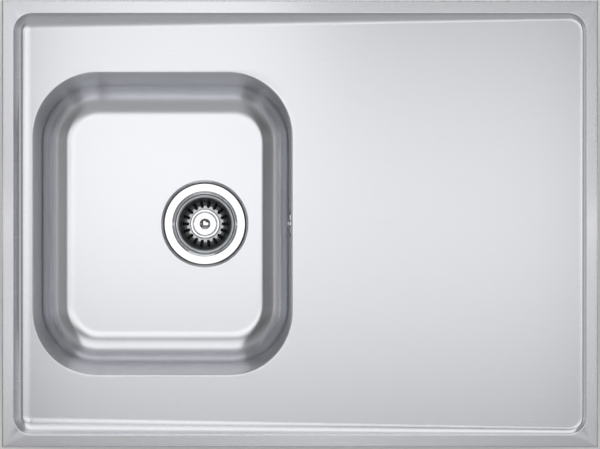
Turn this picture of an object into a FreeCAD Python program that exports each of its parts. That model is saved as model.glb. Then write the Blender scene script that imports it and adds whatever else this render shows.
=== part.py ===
"""Lay-on kitchen sink with one bowl, a drainboard, a basket strainer waste and an overflow.

Millimetres. The origin is the centre of the sink's footprint, in the plane where the folded
rim rests on the cabinet. +X runs to the right, over the drainboard, +Y to the back, +Z up.
Each sub-part is written to parts/NODE.step in that one frame.
"""
import FreeCAD
import Part
import math
import os
from FreeCAD import Rotation, Vector

# ---------------------------------------------------------------- deck and drainboard
SINK_LENGTH = 800.0           # over the skirts, along X
SINK_DEPTH = 600.0            # over the skirts, along Y
SHEET = 0.8                   # stainless sheet of the deck and the bowl
SKIRT_HEIGHT = 33.0           # from the cabinet to the top of the rim
RIM_SIDE = 16.0               # flat rim at the left and right
RIM_FRONT = 17.5              # flat rim at the front and back
EDGE_RADIUS = 2.0             # bend from the rim into the skirt
SKIRT_CORNER_RADIUS = 1.6     # ground weld at the four upright corners
RETURN_WIDTH = 18.0           # flange folded in under the skirt
LIP_HEIGHT = 7.0              # edge of that flange, turned up for the hook brackets
RECESS_DEPTH_LEFT = 14.0      # rim down to the deck at the bowl end
RECESS_DEPTH_RIGHT = 6.0      # the same at the far end, so that water runs to the bowl
RECESS_CORNER_RADIUS = 25.0
RECESS_WALL_ANGLE = 60.0      # wall of the recess above the horizontal, degrees
RECESS_LAND = 0.10            # part of that wall that stays straight above its large radius
RIM_EDGE_RADIUS = 1.4         # from the flat rim into the recess

# ---------------------------------------------------------------- bowl
BOWL_MARGIN = 26.0            # edge of the recess to the mouth, at the left
BOWL_LENGTH = 346.0           # mouth along X, in the deck
BOWL_WIDTH = 405.0            # mouth along Y
BOWL_DEPTH = 150.0            # top of the rim to the bowl floor
BOWL_CORNER_RADIUS = 85.0     # at the mouth
BOWL_FOOT_RADIUS = 75.0       # the same corner at the floor, before the bottom radius
BOWL_DRAFT_SIDE = 6.0         # how far the side walls lean in by the floor
BOWL_DRAFT_FRONT = 17.0       # the same at the front and back
BOWL_BOTTOM_RADIUS = 42.0
MOUTH_RADIUS = 2.6            # from the deck into the bowl
NECK_DEPTH = 8.0              # drawn neck of the deck, down to the butt weld with the bowl

# ---------------------------------------------------------------- waste: seat in the bowl floor
DRAIN_OFFSET = 53.0           # waste axis to the right of the bowl's centre
SEAT_DEPTH = 3.6
SEAT_GAP = 1.2                # flange edge to the end of the seat's flat
SEAT_FLARE = 2.6              # width of the seat's conical wall

# ---------------------------------------------------------------- waste: strainer cup
THROAT_RADIUS = 42.4          # drives the waste hole, the cup, the basket and the body
FLANGE_WIDTH = 11.4           # polished face, from its edge to its turn into the throat
FLANGE_TURN = 2.0             # width of that turn
FLANGE_DISH = 0.6             # fall of the flange from its edge to the throat
HOLE_GAP = 2.6                # throat to the hole in the bowl floor
CUP_SHEET = 1.0
LEDGE_DEPTH = 11.0            # bowl floor to the ledge that carries the basket
LEDGE_WIDTH = 4.1
CUP_TAPER = 2.8               # how far the wall draws in from the ledge to the stopper seat
SEAL_CONE_WIDTH = 8.5         # conical stopper seat, across its face in plan
SEAL_CONE_HEIGHT = 8.0
CUP_FOOT = 2.0                # chamfer round the bottom plate
FLANGE_STEP = 1.0             # width and fall of the flange's inner edge
THROAT_STEP_DEPTH = 6.05      # bowl floor to where the throat turns upright
THROAT_LEAN = 0.6             # how far it leans in from there to the ledge
SEAL_CONE_LEAD = 1.2          # stopper seat above the closed stopper's rubber
PLUNGER_CLEARANCE = 3.04      # below the pushed-down plunger, to the clamp screw's head
CUP_HOLES = 6
CUP_HOLE_RADIUS = 6.2
CUP_HOLE_CIRCLE = 17.5
FLANGE_SEAL = 1.6             # flat seal under the flange
FLANGE_SEAL_HOLE_GAP = 0.8    # hole in the bowl floor to that seal
FLANGE_SEAL_EDGE_GAP = 0.5    # the seal to the flange's edge
BODY_SEAL = 2.0               # flat seal under the bowl
BODY_SEAL_HOLE_GAP = 1.0
BODY_SEAL_EDGE_GAP = 1.5      # the seal's lower face to the end of the seat's flat
BODY_SEAL_CHAMFER = 1.0

# ---------------------------------------------------------------- waste: moulded body
BODY_CLEARANCE = 5.3          # cup's throat to the inside of the body
BODY_WALL = 2.8
BODY_FLANGE = 3.4
BODY_FLANGE_PROUD = 1.0       # past the seat's flat
BODY_CORNER = 5.0             # outside radius where the funnel starts
BODY_SHOULDER_WIDTH = 6.0
BODY_SHOULDER_HEIGHT = 5.0
BODY_BELOW_CUP = 3.0          # bottom plate to the start of the funnel
FUNNEL_HEIGHT = 24.0
OUTLET_RADIUS = 23.9          # one and a half inch pipe thread, over its crests
OUTLET_BORE = 20.0
OUTLET_LENGTH = 28.0
BODY_RIBS = 16                # under the flange
BODY_RIB = 1.8
BODY_RIB_HEIGHT = 9.0
BODY_RIB_EDGE_GAP = 1.5       # rib to the flange's edge
CLAMP_BOSS_RADIUS = 7.5
CLAMP_BOSS_BELOW = 4.0        # boss below the thread insert
WEB_ARMS = 4
WEB = 3.0                     # thickness of an arm
WEB_GAP = 2.5                 # cup to the arms
WEB_DROP = 9.0                # start of the funnel to the arms' lower edge
SCREW_RADIUS = 3.0            # M6 clamp screw
SCREW_LENGTH = 20.0
SCREW_CHAMFER = 0.8
SCREW_HEAD_RADIUS = 6.0
SCREW_HEAD = 2.6
SCREW_HEAD_EDGE = 0.9         # upright side of the head
SCREW_HEAD_BEVEL = 2.2        # width of the bevel above it
SCREW_SLOT = 1.2
SCREW_SLOT_DEPTH = 1.4
SCREW_CLEARANCE = 0.4         # radial, in the boss below the insert
INSERT_RADIUS = 5.0
INSERT_LENGTH = 12.0
INSERT_GROOVE = 0.6
INSERT_GROOVE_WIDTH = 2.0
BRANCH_RADIUS = 12.6          # overflow branch on the waste body
BRANCH_WALL = 2.0
BRANCH_COLLAR = 2.2           # thicker root of the branch
BRANCH_COLLAR_LENGTH = 5.0
BRANCH_DEPTH = 27.0           # bowl floor to its axis
BRANCH_LENGTH = 27.5          # outside of the body to its end

# ---------------------------------------------------------------- basket
BASKET_SHEET = 0.6
BASKET_LIP_GAP = 3.4          # throat to the edge of the basket's lip
BASKET_WALL_GAP = 0.7         # inside of the ledge to the basket's wall
BASKET_TAPER = 5.6            # how far the basket's wall draws in by its foot
BASKET_DEPTH = 31.0           # bowl floor to the basket's floor
BASKET_CORNER = 3.5
BASKET_LIP_HEIGHT = 1.2
SLOTS = 18
SLOT_WIDTH = 4.6
SLOT_REACH = 8.6              # how far each slot runs in from the foot of the wall
SLOT_RISE = 5.6               # how far each slot runs up the wall
HUB_RADIUS = 6.4
HUB_FLANGE_RADIUS = 10.0
HUB_UP = 8.0
HUB_FLANGE = 1.4
HUB_FLANGE_STEP = 1.0         # the flange below the basket is narrower by this
HUB_CHAMFER = 1.0

# ---------------------------------------------------------------- plunger, knob and stopper
POST_RADIUS = 4.0
POST_CHAMFER = 0.5
POST_PROUD = 0.6              # post below its nut
PULL_TRAVEL = 6.0             # knob pushed down, closed, to pulled up, open
KNOB_RADIUS = 20.7
KNOB_TOP = 12.6               # bowl floor down to the top of the knob
KNOB_THICKNESS = 4.0
KNOB_CROWN = 0.3              # fall of the face towards its edge
KNOB_EDGE_RADIUS = 1.5
KNOB_SKIRT = 3.4              # height of the edge that turns down
KNOB_WALL = 1.4               # its thickness
KNOB_FACE = 2.2               # thickness of the disc
KNOB_SKIRT_BEVEL = 2.6        # under the disc, at the skirt
KNOB_NECK_BEVEL = 3.0         # the same at the neck
KNOB_GROOVE_RADIUS = 16.3
KNOB_GROOVE = 0.8
KNOB_NECK_RADIUS = 7.2
BUTTON_RADIUS = 7.3
BUTTON_HEIGHT = 2.4           # above the knob's face
BUTTON_SEAT = 1.4             # below it
BUTTON_EDGE = 1.2             # straight side above the face
STOPPER_THICKNESS = 5.2
STOPPER_BRIM = 1.2            # bevel of the rubber's upper edge
STOPPER_RIM = 5.0             # rubber's underside: width of its outer rim
STOPPER_BOSS_RADIUS = 10.0    # and the radius of its middle
STOPPER_HOLLOW = 1.6          # depth of the groove between them
STOPPER_HOLLOW_BEVEL = 2.0
STOPPER_PLATE = 1.0
STOPPER_PLATE_RADIUS = 13.0
COLLAR = 1.2
COLLAR_RADIUS = 5.6
NUT_RADIUS = 6.5
NUT_HEIGHT = 3.0
WASHER_MARGIN = 1.5           # washer past the nut's corners

# ---------------------------------------------------------------- overflow
OVERFLOW_DEPTH = 50.0         # top of the rim to its centre
OVERFLOW_HOLE_RADIUS = 15.0
ROSETTE_RADIUS = 19.0
ROSETTE_SHEET = 0.8
ROSETTE_RISE = 1.2            # dish of the rosette, off the wall
ROSETTE_BEVEL = 3.0           # width of its slanted edge
ROSETTE_SCREW_GAP = 0.2
ROSETTE_HOLES = 6
ROSETTE_HOLE_RADIUS = 3.2
ROSETTE_CIRCLE = 10.0
OVERFLOW_SCREW_RADIUS = 2.5
OVERFLOW_SCREW_HEAD = 2.6
OVERFLOW_SCREW_HEAD_RADIUS = 4.6
OVERFLOW_SCREW_REACH = 10.0   # into the elbow's boss
OVERFLOW_HEAD_EDGE = 0.7      # upright side of the oval head
OVERFLOW_DOME_RADIUS = 2.53   # where the head's dome turns flat
OVERFLOW_DOME_FALL = 0.26     # from its top to there
OVERFLOW_SLOT = 1.0
OVERFLOW_SLOT_DEPTH = 1.2
OVERFLOW_SEAL = 2.0
OVERFLOW_SEAL_HOLE_GAP = 0.5
OVERFLOW_SEAL_EDGE_GAP = 1.0  # the seal to the edge of the elbow's flange
ELBOW_FLANGE_RADIUS = 22.0
ELBOW_FLANGE = 3.0
ELBOW_RADIUS = 16.0
ELBOW_BACK = 38.0             # wall of the bowl to the back of the elbow
ELBOW_CHAMFER = 2.6
ELBOW_WALL = 2.2
ELBOW_BACK_WALL = 2.6
ELBOW_BOSS_RADIUS = 5.0       # screw boss in the elbow's chamber
ELBOW_BOSS_LENGTH = 12.0
ELBOW_BAR = 2.4               # bar that carries the boss
ELBOW_BAR_SET_BACK = 1.0      # behind the flange's face
ELBOW_BAR_DEPTH = 9.0
PIPE_RADIUS = 10.0
PIPE_WALL = 1.8
PIPE_OFFSET = 22.0            # wall of the bowl to the pipe's axis
PIPE_BEND = 34.0
SPIGOT_RADIUS = 12.6
SPIGOT_END = 33.0             # overflow centre to the spigot's lower end
SOCKET_STOP = 6.0             # elbow's chamber to the stop in the spigot
SOCKET_CLEARANCE = 0.2        # radial, round the pipe
PIPE_STOP_GAP = 0.5           # left between that stop and the pipe
PIPE_IN_BRANCH = 12.0         # how far the pipe runs into the waste's branch
UNION_NUT_RADIUS = 17.0
UNION_NUT_LENGTH = 16.0
UNION_NOTCHES = 12            # grip notches round each nut
UNION_NOTCH = 1.3             # their depth and half width
UNION_FACE = 2.5              # end wall of a nut
UNION_OPENING = 0.3           # radial, round the pipe
CONE_SEAL = 5.0
CONE_SEAL_INSET = 0.3         # seal's edge inside the spigot's

# ---------------------------------------------------------------- underside
CHANNEL_FROM_BOWL = 117.0     # bowl mouth to the axis of the first stiffening channel
CHANNEL_FROM_END = 94.0       # axis of the second one to the right edge of the recess
CHANNEL_END_GAP = 47.5        # edge of the recess to a channel's end, front and back
CHANNEL_HEIGHT = 11.0
CHANNEL_WEB = 30.0
CHANNEL_FLANGE = 12.0
CHANNEL_SHEET = 1.0
CHANNEL_BEND = 1.5
PAD_THICKNESS = 2.5
PAD_GAP = 14.0                # left between a pad and the channel beside it
PAD_END_GAP = 67.5            # edge of the recess to a pad's end, front and back
PAD_FROM_BOWL = 22.0          # bowl mouth to the first pad
BOWL_PAD_GAP = 14.0           # waste's seat to the pad under the bowl
BOWL_PAD_CORNER = 8.0
BOWL_PAD_LENGTH = 92.0
BOWL_PAD_WIDTH = 220.0
BRACKET_FROM_END = 110.0      # front and back skirt to a hook bracket's middle
BRACKET_WIDTH = 24.0
BRACKET_SHEET = 1.5
BRACKET_DROP = 46.0
BRACKET_HOOK = 3.2
BRACKET_LIP_GAP = 0.2         # over the lip of the return flange
BRACKET_BACK_GAP = 0.6        # behind that lip
BRACKET_SLOT_RADIUS = 2.6
BRACKET_SLOT_LENGTH = 22.0
BRACKET_SLOT_ANGLE = 35.0     # slant of the slot that draws the sink down, degrees
BRACKET_SLOT_DROP = 27.0      # cabinet's top to the middle of the slot

# ---------------------------------------------------------------- clearances
RUNNING = 0.06                # radial, a shaft that turns or slides in its bore
FIT = 0.05                    # radial, a piece pushed into its seat for good
REST = 0.3                    # between a moving piece and the seat that it rests over
OVERCUT = 2.0                 # how far a cutting shape runs past the face it opens
OVERLAP = 1.0                 # how far two shapes that are fused run into each other
NEAR = 0.1                    # edges to be rounded are picked within this distance

# ---------------------------------------------------------------- what follows from them
HALF_LENGTH = SINK_LENGTH / 2
HALF_DEPTH = SINK_DEPTH / 2
RECESS_HALF_X = HALF_LENGTH - RIM_SIDE
RECESS_HALF_Y = HALF_DEPTH - RIM_FRONT
RAMP_START = -RECESS_HALF_X + RECESS_CORNER_RADIUS
RAMP_END = RECESS_HALF_X - RECESS_CORNER_RADIUS
DECK_SLOPE = (RECESS_DEPTH_LEFT - RECESS_DEPTH_RIGHT) / (RAMP_END - RAMP_START)
FLOOR_Z = SKIRT_HEIGHT - BOWL_DEPTH
WALL = math.radians(RECESS_WALL_ANGLE)
BOWL_X = -RECESS_HALF_X + BOWL_MARGIN + BOWL_LENGTH / 2
BOWL_RIGHT = BOWL_X + BOWL_LENGTH / 2
DRAIN_X = BOWL_X + DRAIN_OFFSET
FLANGE_INNER_RADIUS = THROAT_RADIUS + FLANGE_TURN
FLANGE_RADIUS = FLANGE_INNER_RADIUS + FLANGE_WIDTH
SEAT_FLAT_RADIUS = FLANGE_RADIUS + SEAT_GAP
SEAT_RADIUS = SEAT_FLAT_RADIUS + SEAT_FLARE
WASTE_HOLE_RADIUS = THROAT_RADIUS + HOLE_GAP
LEDGE_INNER_RADIUS = THROAT_RADIUS - LEDGE_WIDTH
CUP_LOWER_RADIUS = LEDGE_INNER_RADIUS - CUP_TAPER
SEAL_CONE_RADIUS = CUP_LOWER_RADIUS - SEAL_CONE_WIDTH
BODY_RADIUS = THROAT_RADIUS + BODY_CLEARANCE + BODY_WALL
BODY_FLANGE_RADIUS = SEAT_FLAT_RADIUS + BODY_FLANGE_PROUD
BRANCH_REACH = BODY_RADIUS + BRANCH_LENGTH
BASKET_LIP_RADIUS = THROAT_RADIUS - BASKET_LIP_GAP
BASKET_WALL_RADIUS = LEDGE_INNER_RADIUS - CUP_SHEET - BASKET_WALL_GAP
BASKET_FOOT_RADIUS = BASKET_WALL_RADIUS - BASKET_TAPER
SLOT_INNER_RADIUS = BASKET_FOOT_RADIUS - SLOT_REACH
HUB_END = BASKET_DEPTH + BASKET_SHEET + HUB_FLANGE
STOPPER_TOP = HUB_END + REST + PULL_TRAVEL + COLLAR + RUNNING + STOPPER_PLATE
SEAL_CONE_TOP = STOPPER_TOP - SEAL_CONE_LEAD
POST_END = STOPPER_TOP + STOPPER_THICKNESS + STOPPER_PLATE + NUT_HEIGHT + POST_PROUD
CUP_DEPTH = POST_END + PLUNGER_CLEARANCE + SCREW_HEAD
BODY_STRAIGHT = CUP_DEPTH + BODY_BELOW_CUP
FUNNEL_END = BODY_STRAIGHT + FUNNEL_HEIGHT
OUTLET_END = FUNNEL_END + OUTLET_LENGTH
CHANNELS = (BOWL_RIGHT + CHANNEL_FROM_BOWL, RECESS_HALF_X - CHANNEL_FROM_END)


def deck_z(x):
    """Height of the deck's upper face: a plane that rises gently from the bowl to the right."""
    return SKIRT_HEIGHT - RECESS_DEPTH_LEFT + DECK_SLOPE * (x - RAMP_START)


# ================================================================ plain shapes
def block(x0, x1, y0, y1, z0, z1):
    return Part.makeBox(x1 - x0, y1 - y0, z1 - z0, Vector(x0, y0, z0))


def cylinder(radius, z0, z1, x=0.0, y=0.0):
    return Part.makeCylinder(radius, z1 - z0, Vector(x, y, z0))


def tube(radius, bore, z0, z1):
    return cylinder(radius, z0, z1).cut(cylinder(bore, z0 - OVERCUT, z1 + OVERCUT))


def rounded_wire(points, closed=True):
    """Wire through (a, b) or (a, b, radius) points in the XZ plane, corners rounded by arcs."""
    corners = [(Vector(p[0], 0, p[1]), p[2] if len(p) > 2 else 0.0) for p in points]
    count = len(corners)
    stops = []
    for i, (corner, radius) in enumerate(corners):
        is_end = not closed and i in (0, count - 1)
        if radius <= 0 or is_end:
            stops.append((corner, None, corner))
            continue
        back = (corners[i - 1][0] - corner).normalize()
        ahead = (corners[(i + 1) % count][0] - corner).normalize()
        half = back.getAngle(ahead) / 2
        reach = radius / math.tan(half)
        middle = corner + (back + ahead).normalize() * (radius / math.sin(half) - radius)
        stops.append((corner + back * reach, middle, corner + ahead * reach))
    edges = []
    for i, (start, middle, end) in enumerate(stops):
        if middle is not None:
            edges.append(Part.Arc(start, middle, end).toShape())
        if closed or i < count - 1:
            following = stops[(i + 1) % count][0]
            if end.distanceToPoint(following) > 1e-6:
                edges.append(Part.LineSegment(end, following).toShape())
    return Part.Wire(edges)


def turned(points):
    """Solid of revolution about Z from a closed (radius, z[, corner radius]) profile."""
    face = Part.Face(rounded_wire(points))
    return face.revolve(Vector(0, 0, 0), Vector(0, 0, 1), 360)


def sheet_profile(path, thickness):
    """Closed outline of a bent sheet: the path, then the same path moved to its left.

    Each bend keeps its radius on the path's side and gains or loses the thickness on the other.
    """
    points = [Vector(p[0], 0, p[1]) for p in path]
    radii = [p[2] if len(p) > 2 else 0.0 for p in path]
    normals = []
    for start, end in zip(points, points[1:]):
        along = (end - start).normalize()
        normals.append(Vector(-along.z, 0, along.x))
    offset = [(points[-1] + normals[-1] * thickness, 0.0)]
    for i in range(len(points) - 2, 0, -1):
        before, after = normals[i - 1], normals[i]
        mitre = (before + after).normalize()
        shift = mitre * (thickness / mitre.dot(before))
        turn = before.x * after.z - before.z * after.x
        grown = radii[i] - thickness if turn > 0 else radii[i] + thickness
        offset.append((points[i] + shift, max(grown, 0.0) if radii[i] else 0.0))
    offset.append((points[0] + normals[0] * thickness, 0.0))
    return list(path) + [(p.x, p.z, r) for p, r in offset]


def ring_of(shape, count, centre=Vector(0, 0, 0)):
    """Copies of a shape turned evenly about a vertical axis."""
    copies = []
    for i in range(count):
        copy = shape.copy()
        copy.rotate(centre, Vector(0, 0, 1), 360.0 * i / count)
        copies.append(copy)
    return copies


def at_drain(shape):
    """From the waste's own frame, z = 0 at the bowl floor, to the sink's."""
    return shape.translated(Vector(DRAIN_X, 0, FLOOR_Z))


def edges_where(shape, test):
    """Edges whose every sampled point passes the test."""
    found = []
    for edge in shape.Edges:
        first, last = edge.ParameterRange
        points = [edge.valueAt(first + (last - first) * i / 4) for i in range(5)]
        if edge.Length > 0.001 and all(test(point) for point in points):
            found.append(edge)
    return found


# ================================================================ tub shapes
def outline(left, right, half_left, half_right, radius_left, radius_right, height):
    """Eight runs of a rounded four-sided outline: rows of control points with their weights.

    half_left and half_right are its half widths at the two pairs of corners, so the front
    and back may draw together along X. height gives z from x. A corner is a quarter of a
    circle, as three control points of which the middle one weighs cos 45 degrees.
    """
    x0, x1 = left + radius_left, right - radius_right
    taper = (half_right - half_left) / (x1 - x0)

    def half(x):
        return half_left + taper * (x - x0)

    def point(x, y):
        return Vector(x, y, height(x))

    start = [point(left, half(x0) - radius_left), point(left, half(left)), point(x0, half(x0))]
    end = [point(x1, half(x1)), point(right, half(right)), point(right, half(x1) - radius_right)]
    back = [start, [start[2], end[0]], end]
    mirrored = [[Vector(p.x, -p.y, p.z) for p in reversed(run)] for run in reversed(back)]
    runs = back + [[end[2], mirrored[0][0]]] + mirrored + [[mirrored[-1][-1], start[0]]]
    corner_weights = [1.0, math.sqrt(0.5), 1.0]
    return [(run, corner_weights if len(run) == 3 else [1.0, 1.0]) for run in runs]


def patches(outlines, level_weights):
    """Faces between outlines: straight for two of them, a rounded conic band for three."""
    faces = []
    for runs in zip(*outlines):
        surface = Part.BezierSurface()
        surface.increase(len(runs[0][0]) - 1, len(outlines) - 1)
        for level, (points, weights) in enumerate(runs):
            for i, (point, weight) in enumerate(zip(points, weights)):
                surface.setPole(i + 1, level + 1, point, weight * level_weights[level])
        faces.append(surface.toShape())
    return faces


def outline_face(outline_runs):
    """Plane face inside one outline."""
    edges = []
    for points, weights in outline_runs:
        if len(points) == 2:
            edges.append(Part.LineSegment(points[0], points[1]).toShape())
            continue
        curve = Part.BezierCurve()
        curve.setPoles(points)
        curve.setWeight(2, weights[1])
        edges.append(curve.toShape())
    return Part.Face(Part.Wire(edges))


def tub(top, bend_top, corner, foot, bend_weight):
    """Closed solid: straight walls from top to bend_top, then one rounded band to the foot."""
    faces = patches([top, bend_top], [1.0, 1.0])
    faces += patches([bend_top, corner, foot], [1.0, bend_weight, 1.0])
    faces += [outline_face(top), outline_face(foot)]
    shell = Part.makeShell(faces)
    shell.sewShape()
    solid = Part.makeSolid(shell)
    if solid.Volume < 0:
        solid.reverse()
    return solid


def recess_tub(grow):
    """The space inside the deck's recess, grown by a sheet for the underside of the deck.

    Depth and width of the wall follow the local depth d. A wall at angle a falls d over
    d / tan a. Its large radius is tangent to the wall and to the deck, and leaves
    RECESS_LAND of the wall straight. The grown shape is the same profile moved outwards.
    """
    bend = (1 - RECESS_LAND) / math.sin(WALL)

    def level(share_in, share_down, grow_in, grow_down):
        insets = [d * share_in - grow_in for d in (RECESS_DEPTH_LEFT, RECESS_DEPTH_RIGHT)]

        def height(x):
            return SKIRT_HEIGHT - share_down * (SKIRT_HEIGHT - deck_z(x)) - grow_down

        return outline(-RECESS_HALF_X + insets[0], RECESS_HALF_X - insets[1],
                       RECESS_HALF_Y - insets[0], RECESS_HALF_Y - insets[1],
                       RECESS_CORNER_RADIUS - insets[0], RECESS_CORNER_RADIUS - insets[1], height)

    cot = 1 / math.tan(WALL)
    top = level(0, 0, OVERCUT * cot + grow / math.sin(WALL), -OVERCUT)
    bend_top = level(RECESS_LAND * cot, RECESS_LAND, grow * math.sin(WALL),
                     grow * math.cos(WALL))
    corner = level(cot, 1, grow * math.tan(WALL / 2), grow)
    foot = level(cot + bend, 1, 0, grow)
    return tub(top, bend_top, corner, foot, math.cos(WALL / 2))


def bowl_half_sizes(z):
    """Half length, half width and corner radius of the drafted bowl wall at height z."""
    share = (deck_z(BOWL_X) - z) / (deck_z(BOWL_X) - FLOOR_Z)
    return (BOWL_LENGTH / 2 - BOWL_DRAFT_SIDE * share,
            BOWL_WIDTH / 2 - BOWL_DRAFT_FRONT * share,
            BOWL_CORNER_RADIUS + (BOWL_FOOT_RADIUS - BOWL_CORNER_RADIUS) * share)


def bowl_tub(grow):
    """The space inside the bowl, grown by a sheet for its outside.

    The walls are straight with two drafts, and one radius turns them into the flat floor.
    """
    fall = deck_z(BOWL_X) - FLOOR_Z
    draft_x = math.atan2(BOWL_DRAFT_SIDE, fall)
    draft_y = math.atan2(BOWL_DRAFT_FRONT, fall)
    turn_x = math.tan((math.pi / 2 - draft_x) / 2)
    turn_y = math.tan((math.pi / 2 - draft_y) / 2)

    def level(z, sizes, grow_x, grow_y, drop):
        half_x, half_y, radius = sizes
        half_x += grow_x
        half_y += grow_y
        radius += (grow_x + grow_y) / 2
        return outline(BOWL_X - half_x, BOWL_X + half_x, half_y, half_y, radius, radius,
                       lambda x: z - drop)

    top_z = SKIRT_HEIGHT + OVERCUT
    rise = BOWL_BOTTOM_RADIUS * (turn_x + turn_y) / 2
    slant_x, slant_y = grow / math.cos(draft_x), grow / math.cos(draft_y)
    half_x, half_y, radius = bowl_half_sizes(FLOOR_Z)
    run_x, run_y = BOWL_BOTTOM_RADIUS * turn_x, BOWL_BOTTOM_RADIUS * turn_y
    foot_sizes = (half_x - run_x, half_y - run_y, radius - (run_x + run_y) / 2)
    top = level(top_z, bowl_half_sizes(top_z), slant_x, slant_y, 0)
    bend_top = level(FLOOR_Z + rise, bowl_half_sizes(FLOOR_Z + rise), slant_x, slant_y, 0)
    corner = level(FLOOR_Z, (half_x, half_y, radius), grow * turn_x, grow * turn_y, grow)
    foot = level(FLOOR_Z, foot_sizes, 0, 0, grow)
    weight = math.cos((math.pi / 2 - (draft_x + draft_y) / 2) / 2)
    return tub(top, bend_top, corner, foot, weight)


def under_deck_slab(x0, x1, y0, y1, drop, thickness):
    """Slab parallel to the deck, its upper face `drop` below the deck's upper face."""
    corners = [(x0, deck_z(x0) - drop), (x1, deck_z(x1) - drop),
               (x1, deck_z(x1) - drop - thickness), (x0, deck_z(x0) - drop - thickness)]
    face = Part.Face(rounded_wire(corners))
    slab = face.extrude(Vector(0, y1 - y0, 0))
    return slab.translated(Vector(0, y0, 0))


# ================================================================ deck and bowl
def make_deck_sheet():
    """Rim, folded skirt, return flange, recessed drainboard and the drawn neck of the bowl."""
    outer = block(-HALF_LENGTH, HALF_LENGTH, -HALF_DEPTH, HALF_DEPTH, 0, SKIRT_HEIGHT)
    outer = soften_skirt(outer, EDGE_RADIUS, SKIRT_CORNER_RADIUS)
    solid = outer.cut(recess_tub(0))
    solid = solid.cut(bowl_tub(0))

    def on_rim_edge(p):
        inside = abs(p.x) < HALF_LENGTH - RIM_SIDE / 2 and abs(p.y) < HALF_DEPTH - RIM_FRONT / 2
        return inside and abs(p.z - SKIRT_HEIGHT) < NEAR

    def on_mouth(p):
        half_x, half_y, _ = bowl_half_sizes(p.z)
        near = abs(p.x - BOWL_X) < half_x + NEAR and abs(p.y) < half_y + NEAR
        return near and abs(p.z - deck_z(p.x)) < NEAR

    solid = solid.makeFillet(RIM_EDGE_RADIUS, edges_where(solid, on_rim_edge))
    solid = solid.makeFillet(MOUTH_RADIUS, edges_where(solid, on_mouth))

    inner = block(-HALF_LENGTH + SHEET, HALF_LENGTH - SHEET, -HALF_DEPTH + SHEET,
                  HALF_DEPTH - SHEET, SHEET, SKIRT_HEIGHT - SHEET)
    inner = soften_skirt(inner, EDGE_RADIUS - SHEET, SKIRT_CORNER_RADIUS - SHEET)
    hollow = inner.cut(recess_tub(SHEET))
    hollow = hollow.cut(bowl_tub(SHEET))
    lip_x, lip_y = HALF_LENGTH - RETURN_WIDTH, HALF_DEPTH - RETURN_WIDTH
    window = block(-lip_x, lip_x, -lip_y, lip_y, -OVERCUT, LIP_HEIGHT)
    lip = block(-lip_x - SHEET, lip_x + SHEET, -lip_y - SHEET, lip_y + SHEET, 0, LIP_HEIGHT)
    hollow = hollow.cut(lip.cut(window))
    solid = solid.cut(hollow)

    floor_window = block(-lip_x, lip_x, -lip_y, lip_y, -OVERCUT, SHEET + OVERCUT)
    neck_region = under_deck_slab(BOWL_X - BOWL_LENGTH / 2 - OVERCUT, BOWL_RIGHT + OVERCUT,
                                  -BOWL_WIDTH / 2 - OVERCUT, BOWL_WIDTH / 2 + OVERCUT,
                                  NECK_DEPTH, SKIRT_HEIGHT)
    return solid.cut(floor_window).cut(neck_region)


def soften_skirt(solid, top_radius, corner_radius):
    """Round a block's upright corners, then its upper edges."""
    uprights = [e for e in solid.Edges if abs(e.tangentAt(e.FirstParameter).z) > 0.99]
    solid = solid.makeFillet(corner_radius, uprights)
    top = solid.BoundBox.ZMax
    return solid.makeFillet(top_radius, edges_where(solid, lambda p: abs(p.z - top) < NEAR))


def make_sink_bowl():
    """Deep-drawn bowl: its upper edge butts against the deck's neck, its floor has the seat."""
    outside = bowl_tub(SHEET).fuse(at_drain(drain_seat(SHEET)))
    shell = outside.cut(bowl_tub(0)).cut(at_drain(drain_seat(0)))
    shell = shell.cut(at_drain(cylinder(WASTE_HOLE_RADIUS, -SEAT_DEPTH - SHEET - OVERCUT, OVERCUT)))
    shell = shell.cut(at_overflow(cylinder(OVERFLOW_HOLE_RADIUS, -SHEET - OVERCUT, OVERCUT)))
    above = under_deck_slab(-HALF_LENGTH, HALF_LENGTH, -HALF_DEPTH, HALF_DEPTH,
                            NECK_DEPTH - BOWL_DEPTH, BOWL_DEPTH)
    return shell.cut(above)


def drain_seat(grow):
    """Pressed round seat below the bowl floor, in the waste's frame."""
    slant = math.hypot(SEAT_RADIUS - SEAT_FLAT_RADIUS, SEAT_DEPTH)
    wider = grow * (slant - (SEAT_RADIUS - SEAT_FLAT_RADIUS)) / SEAT_DEPTH
    mouth, flat = SEAT_RADIUS + wider, SEAT_FLAT_RADIUS + wider
    return turned([(0, OVERCUT), (mouth, OVERCUT), (mouth, -grow), (flat, -SEAT_DEPTH - grow),
                   (0, -SEAT_DEPTH - grow)])


# ================================================================ strainer waste
def flange_under(radius):
    """Underside of the cup's flange, in the waste's frame."""
    share = (FLANGE_RADIUS - radius) / (FLANGE_RADIUS - FLANGE_INNER_RADIUS)
    return -SEAT_DEPTH + FLANGE_SEAL - FLANGE_DISH * share


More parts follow.
